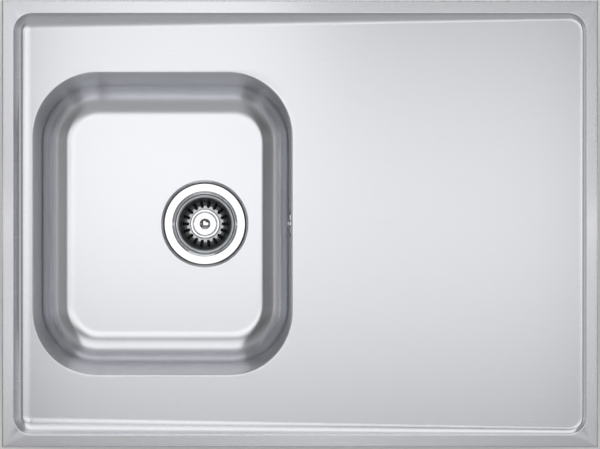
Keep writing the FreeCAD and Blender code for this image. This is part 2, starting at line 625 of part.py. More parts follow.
def make_strainer_cup():
    """Polished flange, stepped throat, ledge for the basket, stopper seat and bottom plate."""
    step_radius = FLANGE_INNER_RADIUS + FLANGE_STEP
    path = [(FLANGE_RADIUS, flange_under(FLANGE_RADIUS)),
            (step_radius, flange_under(step_radius)),
            (FLANGE_INNER_RADIUS, flange_under(FLANGE_INNER_RADIUS) - FLANGE_STEP),
            (THROAT_RADIUS, -THROAT_STEP_DEPTH),
            (THROAT_RADIUS - THROAT_LEAN, -LEDGE_DEPTH - CUP_SHEET),
            (LEDGE_INNER_RADIUS, -LEDGE_DEPTH - CUP_SHEET),
            (CUP_LOWER_RADIUS, -SEAL_CONE_TOP),
            (SEAL_CONE_RADIUS, -SEAL_CONE_TOP - SEAL_CONE_HEIGHT),
            (SEAL_CONE_RADIUS, -CUP_DEPTH - CUP_SHEET + CUP_FOOT),
            (SEAL_CONE_RADIUS - CUP_FOOT, -CUP_DEPTH - CUP_SHEET),
            (SCREW_RADIUS + FIT, -CUP_DEPTH - CUP_SHEET)]
    cup = turned(sheet_profile(list(reversed(path)), CUP_SHEET))
    hole = cylinder(CUP_HOLE_RADIUS, -CUP_DEPTH - CUP_SHEET - OVERCUT, -CUP_DEPTH + OVERCUT,
                    CUP_HOLE_CIRCLE)
    return at_drain(cup.cut(Part.makeCompound(ring_of(hole, CUP_HOLES))))


def make_flange_seal():
    """Flat rubber ring between the cup's flange and the seat in the bowl floor."""
    inner = WASTE_HOLE_RADIUS + FLANGE_SEAL_HOLE_GAP
    outer = FLANGE_RADIUS - FLANGE_SEAL_EDGE_GAP
    return at_drain(turned([(inner, -SEAT_DEPTH), (outer, -SEAT_DEPTH),
                            (outer, flange_under(outer)), (inner, flange_under(inner))]))


def body_top():
    """Top of the moulded body's flange, in the waste's frame."""
    return -SEAT_DEPTH - SHEET - BODY_SEAL


def make_body_seal():
    """Rubber ring between the underside of the bowl floor and the moulded body."""
    top = -SEAT_DEPTH - SHEET
    inner = WASTE_HOLE_RADIUS + BODY_SEAL_HOLE_GAP
    outer = SEAT_FLAT_RADIUS - BODY_SEAL_EDGE_GAP
    return at_drain(turned([(inner, body_top()), (outer, body_top()),
                            (outer - BODY_SEAL_CHAMFER, top), (inner, top)]))


def make_waste_body():
    """Moulded body: flange, straight wall, funnel, threaded outlet, clamp web and branch."""
    top = body_top()
    inner = BODY_RADIUS - BODY_WALL
    shoulder = inner - BODY_SHOULDER_WIDTH
    shoulder_z = -BODY_STRAIGHT - BODY_SHOULDER_HEIGHT
    bore_path = [(0, top + OVERCUT), (inner, top + OVERCUT), (inner, -BODY_STRAIGHT),
                 (shoulder, shoulder_z), (OUTLET_BORE, -FUNNEL_END),
                 (OUTLET_BORE, -OUTLET_END - OVERCUT), (0, -OUTLET_END - OVERCUT)]
    outside_path = [(0, top), (BODY_FLANGE_RADIUS, top), (BODY_FLANGE_RADIUS, top - BODY_FLANGE),
                    (BODY_RADIUS, top - BODY_FLANGE), (BODY_RADIUS, -BODY_STRAIGHT, BODY_CORNER),
                    (shoulder + BODY_WALL, shoulder_z - BODY_WALL),
                    (OUTLET_RADIUS, -FUNNEL_END - BODY_WALL), (OUTLET_RADIUS, -OUTLET_END),
                    (0, -OUTLET_END)]
    body = turned(outside_path)
    rib = block(BODY_RADIUS - OVERLAP, BODY_FLANGE_RADIUS - BODY_RIB_EDGE_GAP,
                -BODY_RIB / 2, BODY_RIB / 2,
                top - BODY_FLANGE - BODY_RIB_HEIGHT, top - BODY_FLANGE + OVERLAP)
    branch = branch_solid(BRANCH_RADIUS, inner, BRANCH_REACH)
    collar = branch_solid(BRANCH_RADIUS + BRANCH_COLLAR, inner, BODY_RADIUS + BRANCH_COLLAR_LENGTH)
    body = body.multiFuse(ring_of(rib, BODY_RIBS) + [branch, collar])
    body = body.cut(turned(bore_path))
    body = body.cut(branch_solid(BRANCH_RADIUS - BRANCH_WALL, inner - 2 * OVERCUT,
                                 BRANCH_REACH + OVERCUT))
    boss_top = -CUP_DEPTH - CUP_SHEET
    boss_end = boss_top - INSERT_LENGTH - CLAMP_BOSS_BELOW
    web = cylinder(CLAMP_BOSS_RADIUS, boss_end, boss_top)
    arm = block(0, BODY_RADIUS - OVERLAP, -WEB / 2, WEB / 2,
                -BODY_STRAIGHT - WEB_DROP, boss_top - WEB_GAP)
    arms = ring_of(arm, WEB_ARMS)
    envelope = turned(outside_path)
    web = web.multiFuse([a.common(envelope) for a in arms])
    insert_hole = cylinder(INSERT_RADIUS + FIT, boss_top - INSERT_LENGTH, boss_top + OVERCUT)
    screw_hole = cylinder(SCREW_RADIUS + SCREW_CLEARANCE, boss_end - OVERCUT, boss_top)
    return at_drain(body.fuse(web).cut(insert_hole).cut(screw_hole).removeSplitter())


def branch_solid(radius, start, end):
    """Cylinder along +X from the waste's axis, at the height of the overflow branch."""
    return Part.makeCylinder(radius, end - start, Vector(start, 0, -BRANCH_DEPTH), Vector(1, 0, 0))


def make_screw_insert():
    """Brass thread insert in the body's clamp boss."""
    top = -CUP_DEPTH - CUP_SHEET
    insert = tube(INSERT_RADIUS, SCREW_RADIUS + FIT, top - INSERT_LENGTH, top)
    middle = top - INSERT_LENGTH / 2
    groove = tube(INSERT_RADIUS + OVERCUT, INSERT_RADIUS - INSERT_GROOVE,
                  middle - INSERT_GROOVE_WIDTH / 2, middle + INSERT_GROOVE_WIDTH / 2)
    return at_drain(insert.cut(groove))


def make_clamp_screw():
    """Screw that draws the cup and the moulded body together through the bowl floor."""
    seat = -CUP_DEPTH
    top = seat + SCREW_HEAD
    tip = seat - SCREW_LENGTH
    screw = turned([(0, top), (SCREW_HEAD_RADIUS - SCREW_HEAD_BEVEL, top),
                    (SCREW_HEAD_RADIUS, seat + SCREW_HEAD_EDGE), (SCREW_HEAD_RADIUS, seat),
                    (SCREW_RADIUS, seat), (SCREW_RADIUS, tip + SCREW_CHAMFER),
                    (SCREW_RADIUS - SCREW_CHAMFER, tip), (0, tip)])
    slot = block(-SCREW_HEAD_RADIUS, SCREW_HEAD_RADIUS, -SCREW_SLOT / 2, SCREW_SLOT / 2,
                 top - SCREW_SLOT_DEPTH, top + OVERCUT)
    return at_drain(screw.cut(slot))


# ================================================================ basket and plunger
def make_strainer_basket():
    """Pressed basket: rolled lip, tapering wall, and slots that run round its lower corner."""
    lip_z = -LEDGE_DEPTH + REST
    path = [(BASKET_LIP_RADIUS, lip_z + BASKET_LIP_HEIGHT), (BASKET_LIP_RADIUS, lip_z),
            (BASKET_WALL_RADIUS, lip_z),
            (BASKET_FOOT_RADIUS, -BASKET_DEPTH - BASKET_SHEET, BASKET_CORNER),
            (HUB_RADIUS + FIT, -BASKET_DEPTH - BASKET_SHEET)]
    basket = turned(sheet_profile(list(reversed(path)), BASKET_SHEET))
    slot_low, slot_high = -BASKET_DEPTH - BASKET_SHEET - OVERCUT, -BASKET_DEPTH + SLOT_RISE
    end_radius = SLOT_INNER_RADIUS + SLOT_WIDTH / 2
    slot = block(end_radius, BASKET_LIP_RADIUS, -SLOT_WIDTH / 2, SLOT_WIDTH / 2,
                 slot_low, slot_high)
    end = cylinder(SLOT_WIDTH / 2, slot_low, slot_high, end_radius)
    return at_drain(basket.cut(Part.makeCompound(ring_of(slot.fuse(end), SLOTS))))


def make_basket_hub():
    """Bush in the basket's floor that guides the post."""
    floor_top, floor_under = -BASKET_DEPTH, -BASKET_DEPTH - BASKET_SHEET
    bore = POST_RADIUS + RUNNING
    lower_radius = HUB_FLANGE_RADIUS - HUB_FLANGE_STEP
    return at_drain(turned([
        (bore, floor_top + HUB_UP), (HUB_RADIUS - HUB_CHAMFER, floor_top + HUB_UP),
        (HUB_RADIUS, floor_top + HUB_UP - HUB_CHAMFER),
        (HUB_RADIUS, floor_top + HUB_FLANGE), (HUB_FLANGE_RADIUS, floor_top + HUB_FLANGE),
        (HUB_FLANGE_RADIUS, floor_top), (HUB_RADIUS, floor_top), (HUB_RADIUS, floor_under),
        (lower_radius, floor_under), (lower_radius, floor_under - HUB_FLANGE),
        (bore, floor_under - HUB_FLANGE)]))


def stopper_stack():
    """Heights in the stopper's stack, in the waste's frame: plate, rubber and nut."""
    rubber_top = -STOPPER_TOP
    rubber_end = rubber_top - STOPPER_THICKNESS
    return rubber_top + STOPPER_PLATE, rubber_top, rubber_end


def make_plunger_post():
    """Rod from the knob down through the hub and the stopper, with a collar over the plate."""
    plate_top, _, _ = stopper_stack()
    collar_end = plate_top + RUNNING
    top = -KNOB_TOP - BUTTON_SEAT - FIT
    return at_drain(turned([
        (0, top), (POST_RADIUS, top), (POST_RADIUS, collar_end + COLLAR),
        (COLLAR_RADIUS, collar_end + COLLAR), (COLLAR_RADIUS, collar_end),
        (POST_RADIUS, collar_end), (POST_RADIUS, -POST_END + POST_CHAMFER),
        (POST_RADIUS - POST_CHAMFER, -POST_END), (0, -POST_END)]))


def make_basket_knob():
    """Disc knob with a ring groove in its face and a neck over the post."""
    top, under = -KNOB_TOP, -KNOB_TOP - KNOB_THICKNESS
    seat = top - BUTTON_SEAT
    rest_z = -BASKET_DEPTH + HUB_UP + REST
    groove_in, groove_out = KNOB_GROOVE_RADIUS - KNOB_GROOVE, KNOB_GROOVE_RADIUS + KNOB_GROOVE
    bore = POST_RADIUS + FIT
    recess = BUTTON_RADIUS + 2 * FIT
    skirt_end = top - KNOB_SKIRT
    skirt_inner = KNOB_RADIUS - KNOB_WALL
    return at_drain(turned([
        (0, seat), (recess, seat), (recess, top), (groove_in, top),
        (groove_in, top - KNOB_GROOVE), (groove_out, top - KNOB_GROOVE), (groove_out, top),
        (KNOB_RADIUS, top - KNOB_CROWN, KNOB_EDGE_RADIUS), (KNOB_RADIUS, skirt_end),
        (skirt_inner, skirt_end), (skirt_inner - KNOB_SKIRT_BEVEL, top - KNOB_FACE),
        (KNOB_NECK_RADIUS + KNOB_NECK_BEVEL, top - KNOB_FACE), (KNOB_NECK_RADIUS, under),
        (KNOB_NECK_RADIUS, rest_z), (bore, rest_z), (bore, seat - FIT), (0, seat - FIT)]))


def make_knob_button():
    """Cap with a round crown, pressed into the middle of the knob."""
    seat = -KNOB_TOP - BUTTON_SEAT
    crown_foot = -KNOB_TOP + BUTTON_EDGE
    crown_rise = BUTTON_HEIGHT - BUTTON_EDGE
    cap = cylinder(BUTTON_RADIUS, seat, crown_foot)
    crown_radius = (BUTTON_RADIUS ** 2 + crown_rise ** 2) / (2 * crown_rise)
    ball = Part.makeSphere(crown_radius, Vector(0, 0, crown_foot + crown_rise - crown_radius))
    crown = ball.common(cylinder(BUTTON_RADIUS, crown_foot, crown_foot + BUTTON_HEIGHT))
    return at_drain(cap.fuse(crown))


def stopper_radius(depth):
    """Radius of the rubber at a depth: the cup's conical seat, less its sheet and the gap."""
    run = CUP_LOWER_RADIUS - SEAL_CONE_RADIUS
    slant = math.hypot(run, SEAL_CONE_HEIGHT) / SEAL_CONE_HEIGHT
    outside = CUP_LOWER_RADIUS - run * (depth - SEAL_CONE_TOP) / SEAL_CONE_HEIGHT
    return outside - (CUP_SHEET + REST) * slant


def make_stopper_plate():
    """Stainless disc that backs the rubber."""
    plate_top, rubber_top, _ = stopper_stack()
    return at_drain(turned([(POST_RADIUS + RUNNING, rubber_top),
                            (STOPPER_PLATE_RADIUS, rubber_top),
                            (STOPPER_PLATE_RADIUS, plate_top),
                            (POST_RADIUS + RUNNING, plate_top)]))


def make_stopper_seal():
    """Rubber stopper whose rim follows the conical seat a little above it."""
    _, top, end = stopper_stack()
    bore = POST_RADIUS + RUNNING
    high = stopper_radius(-top + STOPPER_BRIM)
    low = stopper_radius(-end)
    rim_inner, hollow = low - STOPPER_RIM, end + STOPPER_HOLLOW
    return at_drain(turned([(bore, top), (high - STOPPER_BRIM, top), (high, top - STOPPER_BRIM),
                            (low, end), (rim_inner, end),
                            (rim_inner - STOPPER_HOLLOW_BEVEL, hollow),
                            (STOPPER_BOSS_RADIUS + STOPPER_HOLLOW_BEVEL, hollow),
                            (STOPPER_BOSS_RADIUS, end), (bore, end)]))


def make_stopper_washer():
    """Washer between the rubber and the nut."""
    _, _, end = stopper_stack()
    return at_drain(tube(NUT_RADIUS + WASHER_MARGIN, POST_RADIUS + RUNNING,
                         end - STOPPER_PLATE, end))


def make_post_nut():
    """Hexagon lock nut on the lower end of the post."""
    _, _, end = stopper_stack()
    top = end - STOPPER_PLATE - RUNNING
    corners = [Vector(NUT_RADIUS * math.cos(math.radians(60 * i)),
                      NUT_RADIUS * math.sin(math.radians(60 * i)), top) for i in range(7)]
    nut = Part.Face(Part.makePolygon(corners)).extrude(Vector(0, 0, -NUT_HEIGHT))
    bore = cylinder(POST_RADIUS + FIT, top - NUT_HEIGHT - OVERCUT, top + OVERCUT)
    return at_drain(nut.cut(bore))


# ================================================================ overflow
def overflow_frame():
    """Centre of the overflow on the bowl's inner wall, and the turn of its local frame.

    Local +Z looks into the bowl, square to the drafted wall. Local +X runs up the wall.
    """
    fall = deck_z(BOWL_X) - FLOOR_Z
    z = SKIRT_HEIGHT - OVERFLOW_DEPTH
    half_x, _, _ = bowl_half_sizes(z)
    lean = math.degrees(math.atan2(BOWL_DRAFT_SIDE, fall))
    return Vector(BOWL_X + half_x, 0, z), Rotation(Vector(0, 1, 0), -90 + lean)


def at_overflow(shape):
    centre, turn = overflow_frame()
    placed = shape.copy()
    placed.Placement = FreeCAD.Placement(centre, turn)
    return placed


def make_overflow_rosette():
    """Dished rosette with a ring of holes round its screw."""
    path = [(ROSETTE_RADIUS, 0), (ROSETTE_RADIUS - ROSETTE_BEVEL, ROSETTE_RISE),
            (OVERFLOW_SCREW_RADIUS + ROSETTE_SCREW_GAP, ROSETTE_RISE)]
    disc = turned(sheet_profile(path, -ROSETTE_SHEET))
    hole = cylinder(ROSETTE_HOLE_RADIUS, -OVERCUT, ROSETTE_RISE + ROSETTE_SHEET + OVERCUT,
                    ROSETTE_CIRCLE)
    return at_overflow(disc.cut(Part.makeCompound(ring_of(hole, ROSETTE_HOLES))))


def make_overflow_seal():
    """Flat ring between the outside of the wall and the elbow."""
    return at_overflow(tube(ELBOW_FLANGE_RADIUS - OVERFLOW_SEAL_EDGE_GAP,
                            OVERFLOW_HOLE_RADIUS + OVERFLOW_SEAL_HOLE_GAP,
                            elbow_front(), -SHEET))


def elbow_front():
    """Front face of the elbow's flange, in the overflow's frame."""
    return -SHEET - OVERFLOW_SEAL


def make_overflow_elbow():
    """Moulded elbow: flange, round chamber with a screw boss, and a spigot that points down."""
    front, back = elbow_front(), -ELBOW_BACK
    shell = turned([(0, front), (ELBOW_FLANGE_RADIUS, front),
                    (ELBOW_FLANGE_RADIUS, front - ELBOW_FLANGE),
                    (ELBOW_RADIUS, front - ELBOW_FLANGE), (ELBOW_RADIUS, back + ELBOW_CHAMFER),
                    (ELBOW_RADIUS - ELBOW_CHAMFER, back), (0, back)])
    spigot = Part.makeCylinder(SPIGOT_RADIUS, SPIGOT_END, Vector(0, 0, -PIPE_OFFSET),
                               Vector(-1, 0, 0))
    shell = shell.fuse(spigot)
    chamber = cylinder(ELBOW_RADIUS - ELBOW_WALL, back + ELBOW_BACK_WALL, front + OVERCUT)
    passage = Part.makeCylinder(PIPE_RADIUS - PIPE_WALL, SPIGOT_END + OVERCUT,
                                Vector(0, 0, -PIPE_OFFSET), Vector(-1, 0, 0))
    socket = Part.makeCylinder(PIPE_RADIUS + SOCKET_CLEARANCE, SPIGOT_END,
                               Vector(-ELBOW_RADIUS - SOCKET_STOP, 0, -PIPE_OFFSET),
                               Vector(-1, 0, 0))
    shell = shell.cut(chamber).cut(passage).cut(socket)
    boss_end = front - ELBOW_BOSS_LENGTH
    boss = cylinder(ELBOW_BOSS_RADIUS, boss_end, front)
    bar_front = front - ELBOW_BAR_SET_BACK
    bar = block(-ELBOW_RADIUS + OVERLAP, ELBOW_RADIUS - OVERLAP, -ELBOW_BAR / 2, ELBOW_BAR / 2,
                bar_front - ELBOW_BAR_DEPTH, bar_front)
    shell = shell.fuse(boss).fuse(bar)
    bore = cylinder(OVERFLOW_SCREW_RADIUS + FIT, boss_end - OVERCUT, front + OVERCUT)
    return at_overflow(shell.cut(bore).removeSplitter())


def make_overflow_screw():
    """Screw with a raised oval head, through the rosette into the elbow's boss."""
    seat = ROSETTE_RISE + ROSETTE_SHEET
    top = seat + OVERFLOW_SCREW_HEAD
    tip = elbow_front() - OVERFLOW_SCREW_REACH
    screw = turned([(0, top), (OVERFLOW_DOME_RADIUS, top - OVERFLOW_DOME_FALL),
                    (OVERFLOW_SCREW_HEAD_RADIUS, seat + OVERFLOW_HEAD_EDGE),
                    (OVERFLOW_SCREW_HEAD_RADIUS, seat), (OVERFLOW_SCREW_RADIUS, seat),
                    (OVERFLOW_SCREW_RADIUS, tip), (0, tip)])
    reach = OVERFLOW_SCREW_HEAD_RADIUS + OVERCUT
    slot = block(-reach, reach, -OVERFLOW_SLOT / 2, OVERFLOW_SLOT / 2,
                 top - OVERFLOW_SLOT_DEPTH, top + OVERCUT)
    return at_overflow(screw.cut(slot))


def overflow_route():
    """Centre line of the overflow pipe: down beside the bowl wall, then across to the waste."""
    centre, turn = overflow_frame()
    down = turn.multVec(Vector(-1, 0, 0))
    pipe_top = ELBOW_RADIUS + SOCKET_STOP + PIPE_STOP_GAP
    axis_top = centre + turn.multVec(Vector(-pipe_top, 0, -PIPE_OFFSET))
    level = FLOOR_Z - BRANCH_DEPTH
    corner = axis_top + down * ((level - axis_top.z) / down.z)
    end = Vector(DRAIN_X + BRANCH_REACH - PIPE_IN_BRANCH, 0, level)
    return axis_top, corner, end


def make_overflow_pipe():
    """Rigid moulded pipe with one bend, swept along its centre line."""
    top, corner, end = overflow_route()
    points = [(top.x, top.z), (corner.x, corner.z, PIPE_BEND), (end.x, end.z)]
    path = rounded_wire(points, closed=False)
    along = (corner - top).normalize()

    def swept(radius):
        circle = Part.Circle(top, along, radius).toShape()
        return path.makePipeShell([Part.Wire([circle])], True, False)

    return swept(PIPE_RADIUS).cut(swept(PIPE_RADIUS - PIPE_WALL))


def union_pieces(build):
    """The same piece on both ends of the pipe: build(start, direction) makes one."""
    centre, turn = overflow_frame()
    down = turn.multVec(Vector(-1, 0, 0))
    upper = centre + turn.multVec(Vector(-SPIGOT_END, 0, -PIPE_OFFSET))
    lower = Vector(DRAIN_X + BRANCH_REACH, 0, FLOOR_Z - BRANCH_DEPTH)
    return Part.makeCompound([build(upper, down), build(lower, Vector(1, 0, 0))])


def make_union_nuts():
    """Ribbed nuts that press the cone seals onto the pipe."""
    def nut(start, along):
        thread_length = UNION_NUT_LENGTH - UNION_FACE
        back = start - along * (thread_length - CONE_SEAL)
        body = Part.makeCylinder(UNION_NUT_RADIUS, UNION_NUT_LENGTH, back, along)
        notch = block(UNION_NUT_RADIUS - UNION_NOTCH, UNION_NUT_RADIUS + OVERCUT,
                      -UNION_NOTCH, UNION_NOTCH, -OVERCUT, UNION_NUT_LENGTH + OVERCUT)
        notches = Part.makeCompound(ring_of(notch, UNION_NOTCHES))
        notches.Placement = FreeCAD.Placement(back, Rotation(Vector(0, 0, 1), along))
        body = body.cut(notches)
        thread = Part.makeCylinder(SPIGOT_RADIUS + FIT, thread_length, back, along)
        opening = Part.makeCylinder(PIPE_RADIUS + UNION_OPENING, UNION_NUT_LENGTH + OVERCUT,
                                    back, along)
        return body.cut(thread).cut(opening)

    return union_pieces(nut)


def make_union_seals():
    """Rubber cone seals under the nuts."""
    def seal(start, along):
        ring = Part.makeCylinder(SPIGOT_RADIUS - CONE_SEAL_INSET, CONE_SEAL, start, along)
        return ring.cut(Part.makeCylinder(PIPE_RADIUS + FIT, CONE_SEAL + 2 * OVERCUT,
                                          start - along * OVERCUT, along))

    return union_pieces(seal)


# ================================================================ underside
def make_deck_channels():
    """Two hat-section channels bonded under the drainboard, running front to back."""
    slope = math.degrees(math.atan(DECK_SLOPE))
    half_length = RECESS_HALF_Y - CHANNEL_END_GAP
    half = CHANNEL_WEB / 2
    path = [(-half - CHANNEL_FLANGE, 0), (-half, 0, CHANNEL_BEND),
            (-half, -CHANNEL_HEIGHT, CHANNEL_BEND), (half, -CHANNEL_HEIGHT, CHANNEL_BEND),
            (half, 0, CHANNEL_BEND), (half + CHANNEL_FLANGE, 0)]
    section = Part.Face(rounded_wire(sheet_profile(path, -CHANNEL_SHEET)))
    channels = []
    for x in CHANNELS:
        channel = section.extrude(Vector(0, 2 * half_length, 0))
        channel.translate(Vector(0, -half_length, 0))
        channel.rotate(Vector(0, 0, 0), Vector(0, 1, 0), -slope)
        channel.translate(Vector(x, 0, deck_z(x) - SHEET))
        channels.append(channel)
    return Part.makeCompound(channels)


def make_deck_pads():
    """Sound-damping pads bonded under the drainboard, beside and between the channels."""
    clear = CHANNEL_WEB / 2 + CHANNEL_FLANGE + PAD_GAP
    half_width = RECESS_HALF_Y - PAD_END_GAP
    first, last = CHANNELS
    spans = [(BOWL_RIGHT + PAD_FROM_BOWL, first - clear), (first + clear, last - clear),
             (last + clear, RECESS_HALF_X - PAD_GAP * 2)]
    pads = []
    for x0, x1 in spans:
        if x1 - x0 > PAD_GAP:
            pads.append(under_deck_slab(x0, x1, -half_width, half_width, SHEET, PAD_THICKNESS))
    return Part.makeCompound(pads)


def make_bowl_pad():
    """Sound-damping pad bonded under the bowl floor, beside the waste."""
    right = DRAIN_X - SEAT_RADIUS - BOWL_PAD_GAP
    under = FLOOR_Z - SHEET
    pad = block(right - BOWL_PAD_LENGTH, right, -BOWL_PAD_WIDTH / 2, BOWL_PAD_WIDTH / 2,
                under - PAD_THICKNESS, under)
    corners = [e for e in pad.Edges if abs(e.tangentAt(e.FirstParameter).z) > 0.99]
    return pad.makeFillet(BOWL_PAD_CORNER, corners)


def make_hook_brackets():
    """Four plates that hook over the return flange's lip, each with a slanted screw slot."""
    lip_inner = HALF_LENGTH - RETURN_WIDTH
    hook_top = LIP_HEIGHT + BRACKET_SHEET
    half = BRACKET_WIDTH / 2
    over_lip = LIP_HEIGHT + BRACKET_LIP_GAP
    behind_lip = lip_inner + SHEET + BRACKET_BACK_GAP
    path = [(lip_inner, -BRACKET_DROP), (lip_inner, over_lip), (behind_lip, over_lip),
            (behind_lip, hook_top - BRACKET_HOOK - BRACKET_SHEET)]
    section = Part.Face(rounded_wire(sheet_profile(path, BRACKET_SHEET)))
    plate = section.extrude(Vector(0, BRACKET_WIDTH, 0)).translated(Vector(0, -half, 0))
    reach = BRACKET_SLOT_LENGTH / 2 - BRACKET_SLOT_RADIUS
    half_cut = BRACKET_SHEET + OVERCUT
    slot = block(-half_cut, half_cut, -reach, reach, -BRACKET_SLOT_RADIUS, BRACKET_SLOT_RADIUS)
    for y in (-reach, reach):
        slot = slot.fuse(Part.makeCylinder(BRACKET_SLOT_RADIUS, 2 * half_cut,
                                           Vector(-half_cut, y, 0), Vector(1, 0, 0)))
    slot.rotate(Vector(0, 0, 0), Vector(1, 0, 0), BRACKET_SLOT_ANGLE)
    slot.translate(Vector(lip_inner, 0, -BRACKET_SLOT_DROP))
    plate = plate.cut(slot)
    brackets = []
    bracket_y = HALF_DEPTH - BRACKET_FROM_END
    for y in (-bracket_y, bracket_y):
        right = plate.translated(Vector(0, y, 0))
        brackets.append(right)
        brackets.append(right.mirror(Vector(0, 0, 0), Vector(1, 0, 0)))
    return Part.makeCompound(brackets)


# ================================================================ the assembly
PARTS = {
    "deck_sheet": make_deck_sheet,
    "sink_bowl": make_sink_bowl,
    "deck_channels": make_deck_channels,
    "deck_damping_pads": make_deck_pads,
    "bowl_damping_pad": make_bowl_pad,
    "hook_brackets": make_hook_brackets,
    "strainer_cup": make_strainer_cup,
    "flange_seal": make_flange_seal,
    "body_seal": make_body_seal,
    "waste_body": make_waste_body,
    "screw_insert": make_screw_insert,
    "clamp_screw": make_clamp_screw,
    "strainer_basket": make_strainer_basket,
    "basket_hub": make_basket_hub,
    "plunger_post": make_plunger_post,
    "basket_knob": make_basket_knob,
    "knob_button": make_knob_button,
    "stopper_plate": make_stopper_plate,
    "stopper_seal": make_stopper_seal,
    "stopper_washer": make_stopper_washer,
    "post_nut": make_post_nut,
    "overflow_rosette": make_overflow_rosette,
    "overflow_screw": make_overflow_screw,
    "overflow_seal": make_overflow_seal,
    "overflow_elbow": make_overflow_elbow,
    "overflow_pipe": make_overflow_pipe,
    "union_nuts": make_union_nuts,
    "union_seals": make_union_seals,
}


def main():
    os.makedirs("parts", exist_ok=True)
    for name, make in PARTS.items():
        shape = make()
        print(name, "valid" if shape.isValid() else "NOT VALID", len(shape.Solids),
              round(shape.Volume, 1))
        shape.exportStep(os.path.join("parts", name + ".step"))


main()
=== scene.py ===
"""Lay-on kitchen sink: brushed deck with drainboard, drawn bowl, strainer waste and overflow.

Lengths are in millimetres in the sink's own frame and become metres when a mesh is made.
+X runs to the right over the drainboard, +Y to the back, +Z up. z = 0 is the plane on which
the folded rim rests, and x = y = 0 is the middle of the sink.
"""

import math

import bmesh
import bpy
import numpy as np
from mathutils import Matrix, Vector


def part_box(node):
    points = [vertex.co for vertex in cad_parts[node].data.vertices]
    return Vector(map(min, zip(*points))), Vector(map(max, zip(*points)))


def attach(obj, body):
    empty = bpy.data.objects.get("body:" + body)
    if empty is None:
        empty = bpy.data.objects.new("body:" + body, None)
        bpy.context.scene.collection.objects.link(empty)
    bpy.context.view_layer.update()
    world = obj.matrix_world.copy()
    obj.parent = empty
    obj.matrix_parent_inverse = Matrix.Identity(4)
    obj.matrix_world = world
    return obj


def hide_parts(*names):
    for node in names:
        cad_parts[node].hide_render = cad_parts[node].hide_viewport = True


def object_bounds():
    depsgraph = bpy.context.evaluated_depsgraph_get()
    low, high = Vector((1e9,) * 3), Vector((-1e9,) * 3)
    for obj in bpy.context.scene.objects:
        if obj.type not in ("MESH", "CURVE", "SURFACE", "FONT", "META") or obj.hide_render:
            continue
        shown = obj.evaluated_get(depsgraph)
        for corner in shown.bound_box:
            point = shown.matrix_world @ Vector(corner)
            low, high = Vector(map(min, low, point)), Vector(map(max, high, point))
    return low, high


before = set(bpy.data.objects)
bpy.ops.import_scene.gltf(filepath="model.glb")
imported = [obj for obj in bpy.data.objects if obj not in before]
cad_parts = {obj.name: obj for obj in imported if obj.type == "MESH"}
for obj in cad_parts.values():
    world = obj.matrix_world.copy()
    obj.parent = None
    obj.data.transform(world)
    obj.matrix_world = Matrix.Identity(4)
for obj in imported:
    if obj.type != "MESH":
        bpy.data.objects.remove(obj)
cad_box = [list(corner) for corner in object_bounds()]

# ---------------------------------------------------------------- sizes read from the frame
METRES = 0.001
MERGE = 0.00002               # metres, below which two points are one


def node_box(name):
    """Lowest and highest corner of a CAD node in millimetres."""
    low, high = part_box(name)
    return np.array(low) / METRES, np.array(high) / METRES


DECK_LOW, DECK_HIGH = node_box("deck_sheet")
CUP_LOW, CUP_HIGH = node_box("strainer_cup")
HALF_LENGTH = (DECK_HIGH[0] - DECK_LOW[0]) / 2
HALF_DEPTH = (DECK_HIGH[1] - DECK_LOW[1]) / 2
RIM_Z = DECK_HIGH[2]
DRAIN_X = (CUP_LOW[0] + CUP_HIGH[0]) / 2
FLANGE_RADIUS = (CUP_HIGH[0] - CUP_LOW[0]) / 2

# ---------------------------------------------------------------- deck
SHEET = 0.8                   # stainless sheet of the deck and the bowl
RIM_SIDE = 16.0               # flat rim at the left and right
RIM_FRONT = 17.5              # flat rim at the front and back
EDGE_RADIUS = 2.0             # bend from the rim into the skirt
SKIRT_CORNER = 1.6            # upright corners
LEAST_CORNER = 0.3            # what is left of them further in
RETURN_WIDTH = 18.0           # flange folded in under the skirt
RETURN_BEND = 1.2
LIP_HEIGHT = 7.0
DEPTH_LEFT = 14.0             # rim down to the deck at the bowl end
DEPTH_RIGHT = 6.0
RECESS_CORNER = 25.0
WALL_ANGLE = math.radians(60)
WALL_LAND = 0.10              # part of the recess wall that stays straight
SIDE_TIGHTER = 1.5            # the bend under the left and right walls is tighter by this weight
RIM_ROLL = (0.5, 0.01)        # fall of the rolled rim edge: first part plus a share of the depth

# ---------------------------------------------------------------- bowl
BOWL_X = -185.0
BOWL_HALF = (173.0, 202.5)    # mouth, half length and half width
BOWL_DRAFT = (6.0, 17.0)      # how far the walls lean in by the floor
BOWL_DEPTH = 150.0
MOUTH_CORNER = 85.0
FOOT_CORNER = 75.0
BOTTOM_RADIUS = 42.0
MOUTH_RADIUS = 2.6
MOUTH_TURN = math.radians(43) # half the turn from the deck into the neck
NECK_DEPTH = 8.0              # drawn neck of the deck, down to the weld with the bowl
SEAT_RADIUS = 60.2            # pressed seat for the waste, at the floor
SEAT_FLAT = 56.6
SEAT_DEPTH = 3.6
WASTE_HOLE = 45.0
OVERFLOW_DEPTH = 50.0
OVERFLOW_HOLE = 15.0
OVERFLOW_REACH = 5.0          # points this near the wall's plane belong to it

